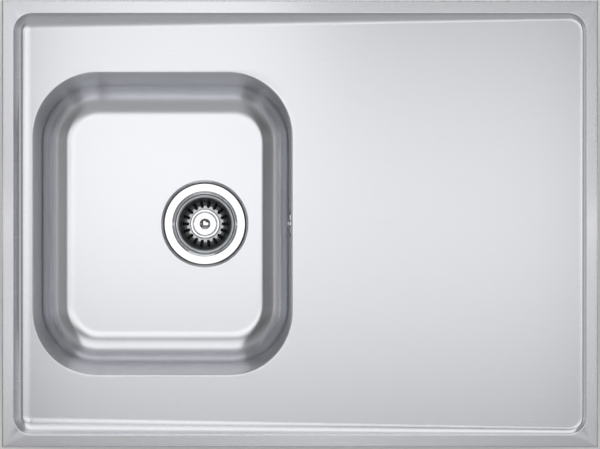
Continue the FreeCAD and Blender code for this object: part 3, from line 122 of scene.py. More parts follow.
# ---------------------------------------------------------------- waste, z from the bowl floor
# Profiles are (radius, z, rounding). Those of sheet run over its visible side from the outside
# in, and the knob's runs from its bore round the edge to its middle.
ROUND = 144                   # columns round the waste: a multiple of its 18 slots and 6 holes
CUP_SHEET = 1.0
CUP_BORE = 3.1                # for the clamp screw
CUP_HOLES = (6, 6.2, 17.5)    # count, radius, radius of their circle
CUP_PROFILE = [
    (FLANGE_RADIUS, -1.9),            # polished flange, lower edge
    (FLANGE_RADIUS, -1.0, 0.45),
    (45.1, -1.55, 0.8),               # it turns into the throat
    (44.4, -2.6, 0.35),               # step
    (43.3, -3.0, 0.35),               # shoulder
    (41.4, -5.65, 0.8),               # throat turns upright
    (40.9, -11.0, 1.8),               # drawn corner: only a thin ring of the ledge is level
    (37.4, -11.0, 1.6),               # inner edge of the ledge
    (34.5, -39.9, 1.0),               # conical seat of the stopper
    (26.0, -47.9, 0.8),
    (26.0, -57.0, 1.2),               # bottom plate
    (24.8, -57.0)]

BASKET_SHEET = 0.6
BASKET_PROFILE = [
    (39.0, -10.6),                    # lower edge of the rolled lip
    (39.0, -9.5, 0.35),
    (38.3, -9.5, 0.3),                # inner edge of its narrow top
    (36.4, -11.6, 1.5),               # lead-in
    (30.4, -31.0, 9.0),               # foot of the wall
    (6.6, -31.0)]                     # hole for the hub
SLOTS = 18
SLOT_HALF = 2.3
SLOT_INNER = 22.4             # radius where a slot ends in the floor
SLOT_TOP = -26.4              # and height where it ends in the wall

KNOB_TOP = -12.6
KNOB_SEAT = -14.0             # floor of the recess for the button
KNOB_BORE = 4.05
POST_GAP = 0.01               # top of the post to the end of that bore
KNOB_PROFILE = [
    (KNOB_BORE, -22.7),               # neck over the post
    (7.2, -22.7, 0.4),
    (7.2, -16.6, 0.6),
    (10.2, -14.8, 0.8),               # underside of the disc
    (16.7, -14.8, 0.6),
    (19.3, -16.0, 0.3),               # edge that turns down
    (20.7, -16.0, 0.4),
    (20.7, -12.7, 1.3),
    (17.45, KNOB_TOP, 0.3),           # ring groove
    (16.5, -13.5, 0.1),
    (16.1, -13.5, 0.1),
    (15.15, KNOB_TOP, 0.3),
    (7.4, KNOB_TOP, 0.25),            # recess for the button
    (7.4, KNOB_SEAT, 0.1),
    (0, KNOB_SEAT)]
BUTTON_RADIUS = 7.3
BUTTON_TOP = 2.4              # above the knob's face
BUTTON_RISE = 1.2             # of the round crown
BUTTON_SIDE = 1.25            # top of its straight side, above the knob's face
BUTTON_INSET = 0.4            # the crown starts this far inside that side
BUTTON_ROUNDS = (0.2, 0.35)   # lower and upper edge

ROSETTE_SHEET = 0.8
ROSETTE_BORE = 2.7
ROSETTE_HOLES = (6, 3.2, 10.0)
ROSETTE_PROFILE = [           # z off the wall
    (19.0, 0.1),
    (19.0, 0.85, 0.35),
    (16.0, 2.0, 1.6),
    (15.2, 2.0)]

RECESS_X = HALF_LENGTH - RIM_SIDE
RECESS_Y = HALF_DEPTH - RIM_FRONT
RAMP_START = -RECESS_X + RECESS_CORNER
RAMP_END = RECESS_X - RECESS_CORNER
DECK_SLOPE = (DEPTH_LEFT - DEPTH_RIGHT) / (RAMP_END - RAMP_START)
FLOOR_Z = RIM_Z - BOWL_DEPTH
DRAIN = np.array([DRAIN_X, 0.0, FLOOR_Z])


def deck_z(x):
    """Height of the deck: a plane that rises gently from the bowl end to the right."""
    return RIM_Z - DEPTH_LEFT + DECK_SLOPE * (x - RAMP_START)


# ================================================================ curves
def conic(start, corner, end, weight, count):
    """Rational quadratic from start to end, drawn to corner: equal tangents and a weight."""
    t = np.linspace(0, 1, count).reshape(-1, *[1] * np.ndim(start))
    a, b, c = (1 - t) ** 2, 2 * weight * t * (1 - t), t ** 2
    return (a * start + b * corner + c * end) / (a + b + c)


def stations(corner, back, right, front, left):
    """Parameters 0 to 8 round an outline: eight runs, evenly divided, corners first."""
    counts = (corner, back, corner, right, corner, front, corner, left)
    return np.concatenate([run + np.arange(n) / n for run, n in enumerate(counts)])


def outline(q, left, right, half, radius):
    """Closed rounded outline at the stations q, clockwise from above.

    half and radius are (at the left corners, at the right corners), and the long sides run
    straight between them. A corner is the rational quadratic with middle weight cos 45.
    """
    x0, x1 = left + radius[0], right - radius[1]
    lean = (half[1] - half[0]) / (x1 - x0)

    def wide(x):
        return half[0] + lean * (x - x0)

    ends = np.array([
        [(left, wide(x0) - radius[0]), (left, wide(left)), (x0, wide(x0))],
        [(x0, wide(x0)), (0, 0), (x1, wide(x1))],
        [(x1, wide(x1)), (right, wide(right)), (right, wide(x1) - radius[1])],
        [(right, wide(x1) - radius[1]), (0, 0), (right, radius[1] - wide(x1))],
        [(right, radius[1] - wide(x1)), (right, -wide(right)), (x1, -wide(x1))],
        [(x1, -wide(x1)), (0, 0), (x0, -wide(x0))],
        [(x0, -wide(x0)), (left, -wide(left)), (left, radius[0] - wide(x0))],
        [(left, radius[0] - wide(x0)), (0, 0), (left, wide(x0) - radius[0])]])
    run = q.astype(int)
    t = (q - run)[:, None]
    weight = np.where(run % 2 == 0, math.sqrt(0.5), 0.0)[:, None]
    a, b, c = (1 - t) ** 2, 2 * weight * t * (1 - t), t ** 2
    a, c = np.where(weight > 0, a, 1 - t), np.where(weight > 0, c, t)
    start, middle, end = ends[run, 0], ends[run, 1], ends[run, 2]
    return (a * start + b * middle + c * end) / (a + b + c)


def raised(flat, z):
    """Outline points with their height: (x, y) becomes (x, y, z)."""
    return np.column_stack([flat, np.broadcast_to(z, len(flat))])


def rounded_profile(points, steps=6):
    """Open profile through (r, z) or (r, z, radius) points, with an arc at each radius.

    An arc is a conic whose weight is the sine of half the angle between its two sides.
    """
    flat = np.array([p[:2] for p in points], float)
    rows = [flat[:1]]
    for i in range(1, len(points) - 1):
        corner = flat[i]
        radius = points[i][2] if len(points[i]) > 2 else 0.0
        if not radius:
            rows.append(corner[None])
            continue
        back, ahead = flat[i - 1] - corner, flat[i + 1] - corner
        back, ahead = back / np.linalg.norm(back), ahead / np.linalg.norm(ahead)
        half = math.acos(np.clip(back @ ahead, -1, 1)) / 2
        reach = radius / math.tan(half)
        rows.append(conic(corner + back * reach, corner, corner + ahead * reach,
                          math.sin(half), steps))
    rows.append(flat[-1:])
    return np.concatenate(rows)


def turned(profile, count=ROUND):
    """Rows of a surface of revolution about z: x = r cos a, y = -r sin a."""
    angle = np.linspace(0, 2 * math.pi, count, endpoint=False)
    ring = np.stack([np.cos(angle), -np.sin(angle), np.zeros(count)], 1)
    return profile[:, :1, None] * ring + profile[:, 1:, None] * np.array([0, 0, 1.0])


SPOKE_POINTS = 15             # on each straight side of a sector with a hole
INNER_POINTS = 9              # and on its inner arc
HOLE_ROWS = 6                 # from its outline to the hole


def holed_ring(inner, outer, holes, z, count=ROUND):
    """Flat ring with a circle of holes, as equal sectors with one hole in each.

    A sector's rows run from its outline straight to the hole: p = (1 - t) b + t h, where b is
    the outline and h lies on the hole's rim on the ray from its centre to b.
    """
    number, radius, circle = holes
    half = math.pi / number
    arc = np.linspace(-half, half, count // number + 1)
    spoke = np.linspace(outer, inner, SPOKE_POINTS)
    short = np.linspace(half, -half, INNER_POINTS)
    polar = np.concatenate([
        np.stack([np.full(len(arc), outer), arc], 1)[:-1],
        np.stack([spoke, np.full(len(spoke), half)], 1)[:-1],
        np.stack([np.full(len(short), inner), short], 1)[:-1],
        np.stack([spoke[::-1], np.full(len(spoke), -half)], 1)[:-1]])
    border = np.stack([polar[:, 0] * np.cos(polar[:, 1]), -polar[:, 0] * np.sin(polar[:, 1])], 1)
    ray = border - (circle, 0)
    rim = (circle, 0) + ray / np.linalg.norm(ray, axis=1)[:, None] * radius
    t = np.linspace(0, 1, HOLE_ROWS)[:, None, None]
    sector = (1 - t) * border + t * rim
    turn = np.arange(number)[:, None, None] * 2 * half
    x = sector[..., 0] * np.cos(turn) + sector[..., 1] * np.sin(turn)
    y = sector[..., 1] * np.cos(turn) - sector[..., 0] * np.sin(turn)
    points = np.stack([x, y, np.full(x.shape, z)], -1)
    rows, columns = x.shape[1:]
    first = np.arange(number)[:, None, None, None] * rows * columns
    return points, grid_faces(rows, columns, True) + first


# ================================================================ meshes
def grid_faces(rows, columns, wrap):
    """Quads of a grid of points, as indices, round the columns when it wraps."""
    row, column = np.mgrid[0:rows - 1, 0:columns if wrap else columns - 1]
    following = (column + 1) % columns
    return np.stack([row * columns + column, (row + 1) * columns + column,
                     (row + 1) * columns + following, row * columns + following], -1)


def new_mesh(name, points, faces, grain=None):
    """Mesh from points in millimetres and quads. grain is (U, V) in millimetres, by corner."""
    mesh = bpy.data.meshes.new(name)
    mesh.from_pydata((points.reshape(-1, 3) * METRES).tolist(), [],
                     faces.reshape(-1, 4).tolist())
    if grain is not None:
        layer = mesh.uv_layers.new(name="grain")
        layer.data.foreach_set("uv", (grain.reshape(-1) * METRES).astype(np.float32))
    return mesh


def joined(parts):
    """Points and quads of several grids as one."""
    starts = np.cumsum([0] + [points.size // 3 for points, _ in parts])
    return (np.concatenate([points.reshape(-1, 3) for points, _ in parts]),
            np.concatenate([faces.reshape(-1, 4) + start
                            for (_, faces), start in zip(parts, starts)]))


def add_piece(name, mesh, body, nodes, materials, thickness=0.0, sharp=35.0):
    """Object from a mesh: doubles merged, sheet thickness grown inwards, edges by angle.

    thickness is in millimetres, sharp in degrees. The second material, if there is one, goes
    on the inner side of the sheet.
    """
    shape = bmesh.new()
    shape.from_mesh(mesh)
    bmesh.ops.remove_doubles(shape, verts=shape.verts, dist=MERGE)
    shape.to_mesh(mesh)
    shape.free()
    for made in materials:
        mesh.materials.append(made)
    piece = bpy.data.objects.new(name, mesh)
    bpy.context.scene.collection.objects.link(piece)
    if thickness:
        wall = piece.modifiers.new("wall", "SOLIDIFY")
        wall.thickness = thickness * METRES
        wall.offset = -1.0
        wall.use_even_offset = True
        wall.material_offset = len(materials) - 1
        solid = piece.evaluated_get(bpy.context.evaluated_depsgraph_get())
        piece.data = bpy.data.meshes.new_from_object(solid)
        piece.modifiers.clear()
    piece.data.shade_smooth()
    piece.data.set_sharp_from_angle(angle=math.radians(sharp))
    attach(piece, body)
    if nodes:
        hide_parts(*nodes)
    return piece


# ================================================================ nodes and materials
def linear(code):
    """Linear colour of an sRGB hex value."""
    share = np.array([int(code[i:i + 2], 16) for i in (1, 3, 5)]) / 255
    low, high = share / 12.92, ((share + 0.055) / 1.055) ** 2.4
    return (*np.where(share <= 0.04045, low, high), 1.0)


def add(tree, kind, inputs=None, **settings):
    """Adds one node: settings are its properties, inputs its sockets' values or links."""
    made = tree.nodes.new(kind)
    for key, value in settings.items():
        setattr(made, key, value)
    for socket, value in (inputs or {}).items():
        if isinstance(value, bpy.types.NodeSocket):
            tree.links.new(value, made.inputs[socket])
        else:
            made.inputs[socket].default_value = value
    return made


def finish(name, shade):
    """Material whose surface is the shader that shade(tree) returns."""
    made = bpy.data.materials.new(name)
    made.use_nodes = True
    made.node_tree.nodes.clear()
    shader = shade(made.node_tree)
    add(made.node_tree, "ShaderNodeOutputMaterial", {"Surface": shader.outputs[0]})
    return made


# Width and length in millimetres. Real brush lines lie about 0.1 mm apart, too fine to show,
# so these are drawn coarser.
FINE_LINES = (0.9, 70.0)
BROAD_LINES = (6.0, 260.0)
LINE_PLACES = (3.0, 11.0)     # where in the noise the two sets of lines start
LINE_TONE = 0.005             # lightness of the broad lines, either way
LINE_BUMP = 0.25
SPECK_BUMP = 0.5


def brush_lines(tree, size, place):
    """Streaks along the grain: noise stretched to a line's width and length."""
    grain = add(tree, "ShaderNodeUVMap", uv_map="grain")
    scaled = add(tree, "ShaderNodeMapping", {
        "Vector": grain.outputs[0], "Location": (place, place, 0),
        "Scale": (1 / (size[0] * METRES), 1 / (size[1] * METRES), 1)})
    return add(tree, "ShaderNodeTexNoise", {
        "Vector": scaled.outputs[0], "Scale": 1.0, "Detail": 3.0, "Roughness": 0.6},
        noise_dimensions="2D")


def brushed(color, roughness, anisotropy, depth, spread):
    """Shader of brushed stainless sheet: metal with fine lines along the sheet's grain.

    depth is the lines' height in millimetres, spread their share of roughness either way.
    """
    def shade(tree):
        fine = brush_lines(tree, FINE_LINES, LINE_PLACES[0])
        broad = brush_lines(tree, BROAD_LINES, LINE_PLACES[1])
        rough = add(tree, "ShaderNodeMapRange", {
            "Value": fine.outputs[0], "To Min": roughness - spread, "To Max": roughness + spread})
        tone = add(tree, "ShaderNodeMapRange", {
            "Value": broad.outputs[0], "To Min": 1 - LINE_TONE, "To Max": 1 + LINE_TONE})
        base = add(tree, "ShaderNodeVectorMath", {
            0: linear(color)[:3], "Scale": tone.outputs[0]}, operation="SCALE")
        bump = add(tree, "ShaderNodeBump", {
            "Height": fine.outputs[0], "Strength": LINE_BUMP, "Distance": depth * METRES})
        tangent = add(tree, "ShaderNodeTangent", direction_type="UV_MAP", uv_map="grain")
        return add(tree, "ShaderNodeBsdfPrincipled", {
            "Base Color": base.outputs[0], "Metallic": 1.0, "Roughness": rough.outputs[0],
            "Anisotropic": anisotropy, "Normal": bump.outputs[0],
            "Tangent": tangent.outputs[0]})
    return shade


def plain(color, roughness, metallic=0.0, speck=1.0, depth=0.02, spread=0.05):
    """Shader with specks in roughness and bump, speck millimetres apart.

    The grain of the real surfaces is finer and would not show, so it is drawn coarser.
    """
    def shade(tree):
        place = add(tree, "ShaderNodeTexCoord")
        noise = add(tree, "ShaderNodeTexNoise", {
            "Vector": place.outputs["Object"], "Scale": 1 / (speck * METRES), "Detail": 3.0})
        rough = add(tree, "ShaderNodeMapRange", {
            "Value": noise.outputs[0], "To Min": roughness - spread, "To Max": roughness + spread})
        bump = add(tree, "ShaderNodeBump", {
            "Height": noise.outputs[0], "Strength": SPECK_BUMP, "Distance": depth * METRES})
        return add(tree, "ShaderNodeBsdfPrincipled", {
            "Base Color": linear(color), "Metallic": metallic, "Roughness": rough.outputs[0],
            "Normal": bump.outputs[0]})
    return shade


# brushed along its length: a soft sheen that spreads across the grain and ends sharply along it
BRUSHED_SHEET = finish("brushed_stainless_sheet", brushed("#E0E1E5", 0.27, 0.75, 0.003, 0.008))
# the same sheet after deep drawing: a little smoother, so the walls show firmer streaks
DRAWN_SHEET = finish("satin_drawn_stainless", brushed("#E0E1E5", 0.24, 0.70, 0.003, 0.008))
# as rolled and never brushed: dull and even
MILL_UNDERSIDE = finish("mill_finish_underside", plain("#C9CACC", 0.42, 1.0, 0.6, 0.01))
# buffed after turning or pressing: near a mirror, white beside black
POLISHED = finish("polished_stainless", plain("#E4E5E7", 0.07, 1.0, 1.5, 0.002, 0.015))
# pressed thin sheet, tumbled but not buffed: blurred grey reflections
PRESSED = finish("pressed_stainless", plain("#D6DADB", 0.33, 1.0, 0.8, 0.006, 0.05))
# bright zinc over steel: pale grey with a faint cloudiness
ZINC = finish("zinc_plated_steel", plain("#B9BDC0", 0.38, 1.0, 3.0, 0.02, 0.08))
# injection moulded, a waxy off-white
POLYPROPYLENE = finish("moulded_polypropylene", plain("#E3E4E2", 0.42, 0.0, 0.5, 0.02))
# hard smooth plastic of the hub, black with a soft shine
ACETAL = finish("moulded_acetal", plain("#1E1F21", 0.35, 0.0, 0.5, 0.01))
# moulded seals, matt black
RUBBER = finish("nitrile_rubber", plain("#161617", 0.6, 0.0, 0.4, 0.02))
# turned thread insert, yellow and bright
BRASS = finish("turned_brass", plain("#C9A75B", 0.25, 1.0, 0.5, 0.01))
# heavy sheet glued on against noise, dark and pebbled
DAMPING = finish("bitumen_damping_sheet", plain("#3A3B3D", 0.75, 0.0, 1.2, 0.15))


# ================================================================ deck sheet
RIM_STATIONS = stations(28, 40, 32, 40, 32)  # columns at each corner and along each side
# rows of each bend, and shares of the way across each flat run at which it has a row
SMALL_BEND_ROWS = 6
EDGE_ROWS = 10
ROLL_ROWS = 8
BEND_ROWS = 34
MOUTH_ROWS = 10
LIP_SHARES = [0, 0.5]
RETURN_SHARES = [0.03, 0.5, 0.97]
SKIRT_SHARES = [0.02, 0.5, 0.98]
RIM_SHARES = [0.05, 0.5, 0.95]
DECK_SHARES = [0.01, 0.04, 0.12, 0.3, 0.5, 0.7, 0.88, 0.96, 0.99]
NECK_SHARES = [0.1, 0.55, 1.0]
WALL_TOP_ROW = 4              # two rows of the recess wall, counted from the rim's last one,
WALL_FOOT_ROW = 38            # that give the way across it
FACING_SPAN = 10              # millimetres between two outlines that give the way it faces


def skirt_loop(inset, z):
    """Outline of the skirt, moved inwards by inset, at height z."""
    corner = max(SKIRT_CORNER - inset, LEAST_CORNER)
    flat = outline(RIM_STATIONS, inset - HALF_LENGTH, HALF_LENGTH - inset,
                   (HALF_DEPTH - inset,) * 2, (corner, corner))
    return raised(flat, z)


def recess_loop(inset, fall):
    """Outline in the recess wall. inset and fall are (fixed, share of the local depth)."""
    left, right = (inset[0] + inset[1] * depth for depth in (DEPTH_LEFT, DEPTH_RIGHT))
    flat = outline(RIM_STATIONS, left - RECESS_X, RECESS_X - right,
                   (RECESS_Y - left, RECESS_Y - right),
                   (RECESS_CORNER - left, RECESS_CORNER - right))
    depth = RIM_Z - deck_z(flat[:, 0])
    return raised(flat, RIM_Z - fall[0] - fall[1] * depth)


def mouth_loop(q, outset, fall):
    """Outline of the bowl's mouth, grown by outset, at a distance under the deck."""
    share = fall / (deck_z(BOWL_X) - FLOOR_Z)
    half_x = BOWL_HALF[0] - BOWL_DRAFT[0] * share + outset
    half_y = BOWL_HALF[1] - BOWL_DRAFT[1] * share + outset
    corner = MOUTH_CORNER + (FOOT_CORNER - MOUTH_CORNER) * share + outset
    flat = outline(q, BOWL_X - half_x, BOWL_X + half_x, (half_y, half_y), (corner, corner))
    return raised(flat, deck_z(flat[:, 0]) - fall)


def between(start, end, shares):
    """Rows at the given shares of the way from one loop to another."""
    t = np.array(shares)[:, None, None]
    return (1 - t) * start + t * end


def foot_direction():
    """Way in which each station of the recess wall faces, seen from above.

    It is the step from one outline of the wall to the next one in, as a unit vector.
    """
    step = recess_loop((0, 0), (0, 0)) - recess_loop((FACING_SPAN, 0), (0, 0))
    step = step[:, :2]
    return step / np.linalg.norm(step, axis=1)[:, None]


def deck_rows():
    """Rows of the sheet's visible side, from the lip under the rim to the neck of the bowl.

    Also gives the number of rows up to the inner edge of the flat rim.
    Bends are conics between tangent loops. Flat runs have their rows near the ends, which
    keeps the shading of the bends off the flats.
    """
    quarter = math.sqrt(0.5)
    bend = RETURN_BEND
    lip_top = skirt_loop(RETURN_WIDTH, LIP_HEIGHT)
    rows = [
        between(lip_top, skirt_loop(RETURN_WIDTH, bend), LIP_SHARES),
        conic(skirt_loop(RETURN_WIDTH, bend), skirt_loop(RETURN_WIDTH, 0),
              skirt_loop(RETURN_WIDTH - bend, 0), quarter, SMALL_BEND_ROWS),
        between(skirt_loop(RETURN_WIDTH - bend, 0), skirt_loop(bend, 0), RETURN_SHARES),
        conic(skirt_loop(bend, 0), skirt_loop(0, 0), skirt_loop(0, bend), quarter,
              SMALL_BEND_ROWS),
        between(skirt_loop(0, bend), skirt_loop(0, RIM_Z - EDGE_RADIUS), SKIRT_SHARES),
        conic(skirt_loop(0, RIM_Z - EDGE_RADIUS), skirt_loop(0, RIM_Z),
              skirt_loop(EDGE_RADIUS, RIM_Z), quarter, EDGE_ROWS)]
    rim_end = len(np.concatenate(rows))
    cot, sine = 1 / math.tan(WALL_ANGLE), math.sin(WALL_ANGLE)
    sixth = math.cos(WALL_ANGLE / 2)
    away = foot_direction()
    bend_weight = sixth + SIDE_TIGHTER * away[:, :1] ** 2
    roll_out = tuple(-part / sine for part in RIM_ROLL)
    roll_in = tuple(part * cot for part in RIM_ROLL)
    roll = conic(recess_loop(roll_out, (0, 0)), recess_loop((0, 0), (0, 0)),
                 recess_loop(roll_in, RIM_ROLL), sixth, ROLL_ROWS)
    land = recess_loop((0, WALL_LAND * cot), (0, WALL_LAND))
    foot = recess_loop((0, cot + (1 - WALL_LAND) / sine), (0, 1))
    reach = MOUTH_RADIUS * math.tan(MOUTH_TURN)
    mouth = conic(mouth_loop(RIM_STATIONS, reach, 0), mouth_loop(RIM_STATIONS, 0, 0),
                  mouth_loop(RIM_STATIONS, 0, reach), math.cos(MOUTH_TURN), MOUTH_ROWS)
    neck = mouth_loop(RIM_STATIONS, 0, NECK_DEPTH)
    rows += [
        between(rows[-1][-1], roll[0], RIM_SHARES), roll,
        conic(land, recess_loop((0, cot), (0, 1)), foot, bend_weight, BEND_ROWS),
        between(foot, mouth[0], DECK_SHARES), mouth,
        between(mouth[-1], neck, NECK_SHARES)]
    return np.concatenate(rows), rim_end + len(RIM_SHARES) + 1


def deck_grain(rows, rim_rows):
    """(U across the grain, V along it) at each face corner.

    The sheet is unrolled outwards from the rim and inwards from the mouth, and U is its y,
    V its x. On the skirt and the rim at the left and right the two change places, with
    mitres at the corners, because the rim is brushed along its length.
    """
    flat = rows[..., :2].copy()
    step = np.linalg.norm(np.diff(rows, axis=0), axis=2)
    outward = (rows[rim_rows + WALL_TOP_ROW] - rows[rim_rows + WALL_FOOT_ROW])[:, :2]
    outward /= np.linalg.norm(outward, axis=1)[:, None]
    for i in range(rim_rows - 1, -1, -1):
        flat[i] = flat[i + 1] + outward * step[i][:, None]
    neck_rows = MOUTH_ROWS + len(NECK_SHARES)
    inward = rows[-1, :, :2] - rows[-neck_rows, :, :2]
    inward /= np.linalg.norm(inward, axis=1)[:, None]
    for i in range(len(rows) - neck_rows, len(rows)):
        flat[i] = flat[i - 1] + inward * step[i - 1][:, None]
    corners = flat.reshape(-1, 2)[grid_faces(*rows.shape[:2], True)]
    run = RIM_STATIONS
    # mitres half way along the corner runs 0, 2, 4 and 6
    side = (run < 0.5) | ((run >= 2.5) & (run < 4.5)) | (run >= 6.5)
    swap = np.zeros(corners.shape[:2], bool)
    swap[:rim_rows] = side
    return np.where(swap[..., None, None], corners, corners[..., ::-1])


def add_deck():
    """Deck sheet: grid of its visible side, thickened inwards."""
    rows, rim_rows = deck_rows()
    faces = grid_faces(*rows.shape[:2], True)
    mesh = new_mesh("deck_sheet_skin", rows, faces, deck_grain(rows, rim_rows))
    piece = add_piece("deck_skin", mesh, "sink", ["deck_sheet"],
                      [BRUSHED_SHEET, MILL_UNDERSIDE], SHEET)


# ================================================================ bowl
BOWL_STATIONS = stations(28, 44, 64, 44, 36)  # the overflow's side has the most columns
WALL_ROWS = 22
BAND_ROWS = 30
FLOOR_SHARES = [0.01, 0.04, 0.12, 0.3, 0.5, 0.7, 0.88, 0.96]
SEAT_MARGIN = 2.5             # ring of even floor kept outside the seat
SEAT_ROUNDS = (1.2, 6.0)      # its upper and lower bend
HOLE_MARGIN = 1.0             # last ring of the seat, round the hole


def bowl_loop(z, inset=(0.0, 0.0)):
    """Outline of the drafted wall at height z, moved in by inset."""
    share = (deck_z(BOWL_X) - z) / (deck_z(BOWL_X) - FLOOR_Z)
    half_x = BOWL_HALF[0] - BOWL_DRAFT[0] * share - inset[0]
    half_y = BOWL_HALF[1] - BOWL_DRAFT[1] * share - inset[1]
    corner = MOUTH_CORNER + (FOOT_CORNER - MOUTH_CORNER) * share - sum(inset) / 2
    flat = outline(BOWL_STATIONS, BOWL_X - half_x, BOWL_X + half_x, (half_y, half_y),
                   (corner, corner))
    return raised(flat, z)


def seat_rows(foot):
    """Rows from the foot of the wall over the flat floor, down the seat to the waste hole.

    Each station runs straight towards the waste's axis, so the seat's rings share the
    stations of the bowl's outline.
    """
    ray = foot[:, :2] - DRAIN[:2]
    ray /= np.linalg.norm(ray, axis=1)[:, None]
    profile = rounded_profile([
        (SEAT_RADIUS + SEAT_MARGIN, 0), (SEAT_RADIUS, 0, SEAT_ROUNDS[0]),
        (SEAT_FLAT, -SEAT_DEPTH, SEAT_ROUNDS[1]), (WASTE_HOLE + HOLE_MARGIN, -SEAT_DEPTH),
        (WASTE_HOLE, -SEAT_DEPTH)])
    rings = np.zeros((len(profile), len(foot), 3))
    rings[..., :2] = DRAIN[:2] + profile[:, :1, None] * ray
    rings[..., 2] = FLOOR_Z + profile[:, 1:]
    floor = between(foot, rings[0], FLOOR_SHARES)
    return np.concatenate([floor, rings])


def add_bowl():
    """Drawn bowl: seam, drafted wall, one large radius, flat floor and the pressed seat.

    A fillet of radius R between a wall that leans by a and the floor starts R tan((90 - a) / 2)
    away from their corner; the two leans of the long and the short walls give two such runs.
    """
    fall = deck_z(BOWL_X) - FLOOR_Z
    turns = [math.tan((math.pi / 2 - math.atan2(d, fall)) / 2) for d in BOWL_DRAFT]
    runs = [BOTTOM_RADIUS * turn for turn in turns]
    bend_top = bowl_loop(FLOOR_Z + sum(runs) / 2)
    corner = bowl_loop(FLOOR_Z)
    foot = bowl_loop(FLOOR_Z, inset=runs)
    lean = math.atan2(sum(BOWL_DRAFT) / 2, fall)
    seam = mouth_loop(BOWL_STATIONS, 0, NECK_DEPTH)
    band = conic(bend_top, corner, foot, math.cos((math.pi / 2 - lean) / 2), BAND_ROWS)
    wall = between(seam, bend_top, np.linspace(0, 1, WALL_ROWS)[:-1])
    upper = np.concatenate([wall, band])
    rows = np.concatenate([upper, seat_rows(foot)])

    # the sheet unrolled outwards from the foot of the wall
    flat = rows[..., :2].copy()
    step = np.linalg.norm(np.diff(rows, axis=0), axis=2)
    outward = bend_top[:, :2] - foot[:, :2]
    outward /= np.linalg.norm(outward, axis=1)[:, None]
    for i in range(len(upper) - 2, -1, -1):
        flat[i] = flat[i + 1] + outward * step[i][:, None]

    faces = grid_faces(*rows.shape[:2], True)
    grain = flat.reshape(-1, 2)[faces][..., ::-1]
    points, kept = open_overflow(rows, faces)
    mesh = new_mesh("bowl_skin", points, faces[kept], grain[kept])
    piece = add_piece("bowl_skin", mesh, "sink", ["sink_bowl"],
                      [DRAWN_SHEET, MILL_UNDERSIDE], SHEET)


def overflow_axes():
    """Centre of the overflow on the inner wall, the way into the bowl and the way up it."""
    z = RIM_Z - OVERFLOW_DEPTH
    fall = deck_z(BOWL_X) - FLOOR_Z
    share = (deck_z(BOWL_X) - z) / fall
    lean = math.atan2(BOWL_DRAFT[0], fall)
    centre = np.array([BOWL_X + BOWL_HALF[0] - BOWL_DRAFT[0] * share, 0, z])
    return (centre, np.array([-math.cos(lean), 0, math.sin(lean)]),
            np.array([math.sin(lean), 0, math.cos(lean)]))


def open_overflow(rows, faces):
    """Opens the round overflow hole: faces inside it go, and its border moves to the circle."""
    centre, into, up = overflow_axes()
    points = rows.reshape(-1, 3).copy()
    away = points - centre
    side = np.array([0.0, 1.0, 0.0])
    flat = np.stack([away @ up, away @ side], 1)
    distance = np.linalg.norm(flat, axis=1)
    on_wall = np.abs(away @ into) < OVERFLOW_REACH
    middle = np.linalg.norm(flat[faces].mean(2), axis=-1)
    kept = ~((middle < OVERFLOW_HOLE) & on_wall[faces].all(-1))
    border = np.intersect1d(faces[kept], faces[~kept])
    moved = flat[border] / distance[border][:, None] * OVERFLOW_HOLE
    points[border] += np.outer(moved[:, 0] - flat[border, 0], up)
    points[border] += np.outer(moved[:, 1] - flat[border, 1], side)
    return points, kept


# ================================================================ waste and overflow
def add_shaped(name, parts, body, nodes, material, thickness=0.0, place=None):
    """Piece from grids in local millimetres; place is (origin, 3 x 3 axes) or the waste's."""
    points, faces = joined(parts)
    origin, axes = place or (DRAIN, np.eye(3))
    mesh = new_mesh(name, points @ axes + origin, faces)
    piece = add_piece(name, mesh, body, nodes, [material], thickness)


def turned_part(points):
    """Grid of a surface of revolution from (r, z, rounding) points."""
    rows = turned(rounded_profile(points))
    return rows, grid_faces(*rows.shape[:2], True)


def add_cup():
    """Polished flange, stepped throat, ledge, wall, conical seat and the holed bottom plate."""
    plate_radius, floor = CUP_PROFILE[-1]
    plate = holed_ring(CUP_BORE, plate_radius, CUP_HOLES, floor)
    add_shaped("cup_skin", [turned_part(CUP_PROFILE), plate], "sink", ["strainer_cup"],
               POLISHED, CUP_SHEET)


BASKET_ARC_STEPS = 24         # points on each arc of the basket's profile
SLOT_END_ROWS = 9             # crowded at the tip of a slot's round end
SLOT_SIDE_ROWS = 12
FLOOR_ROWS = 5
SLOT_CLEAR = 0.3              # millimetres of wall between a slot and the row above it


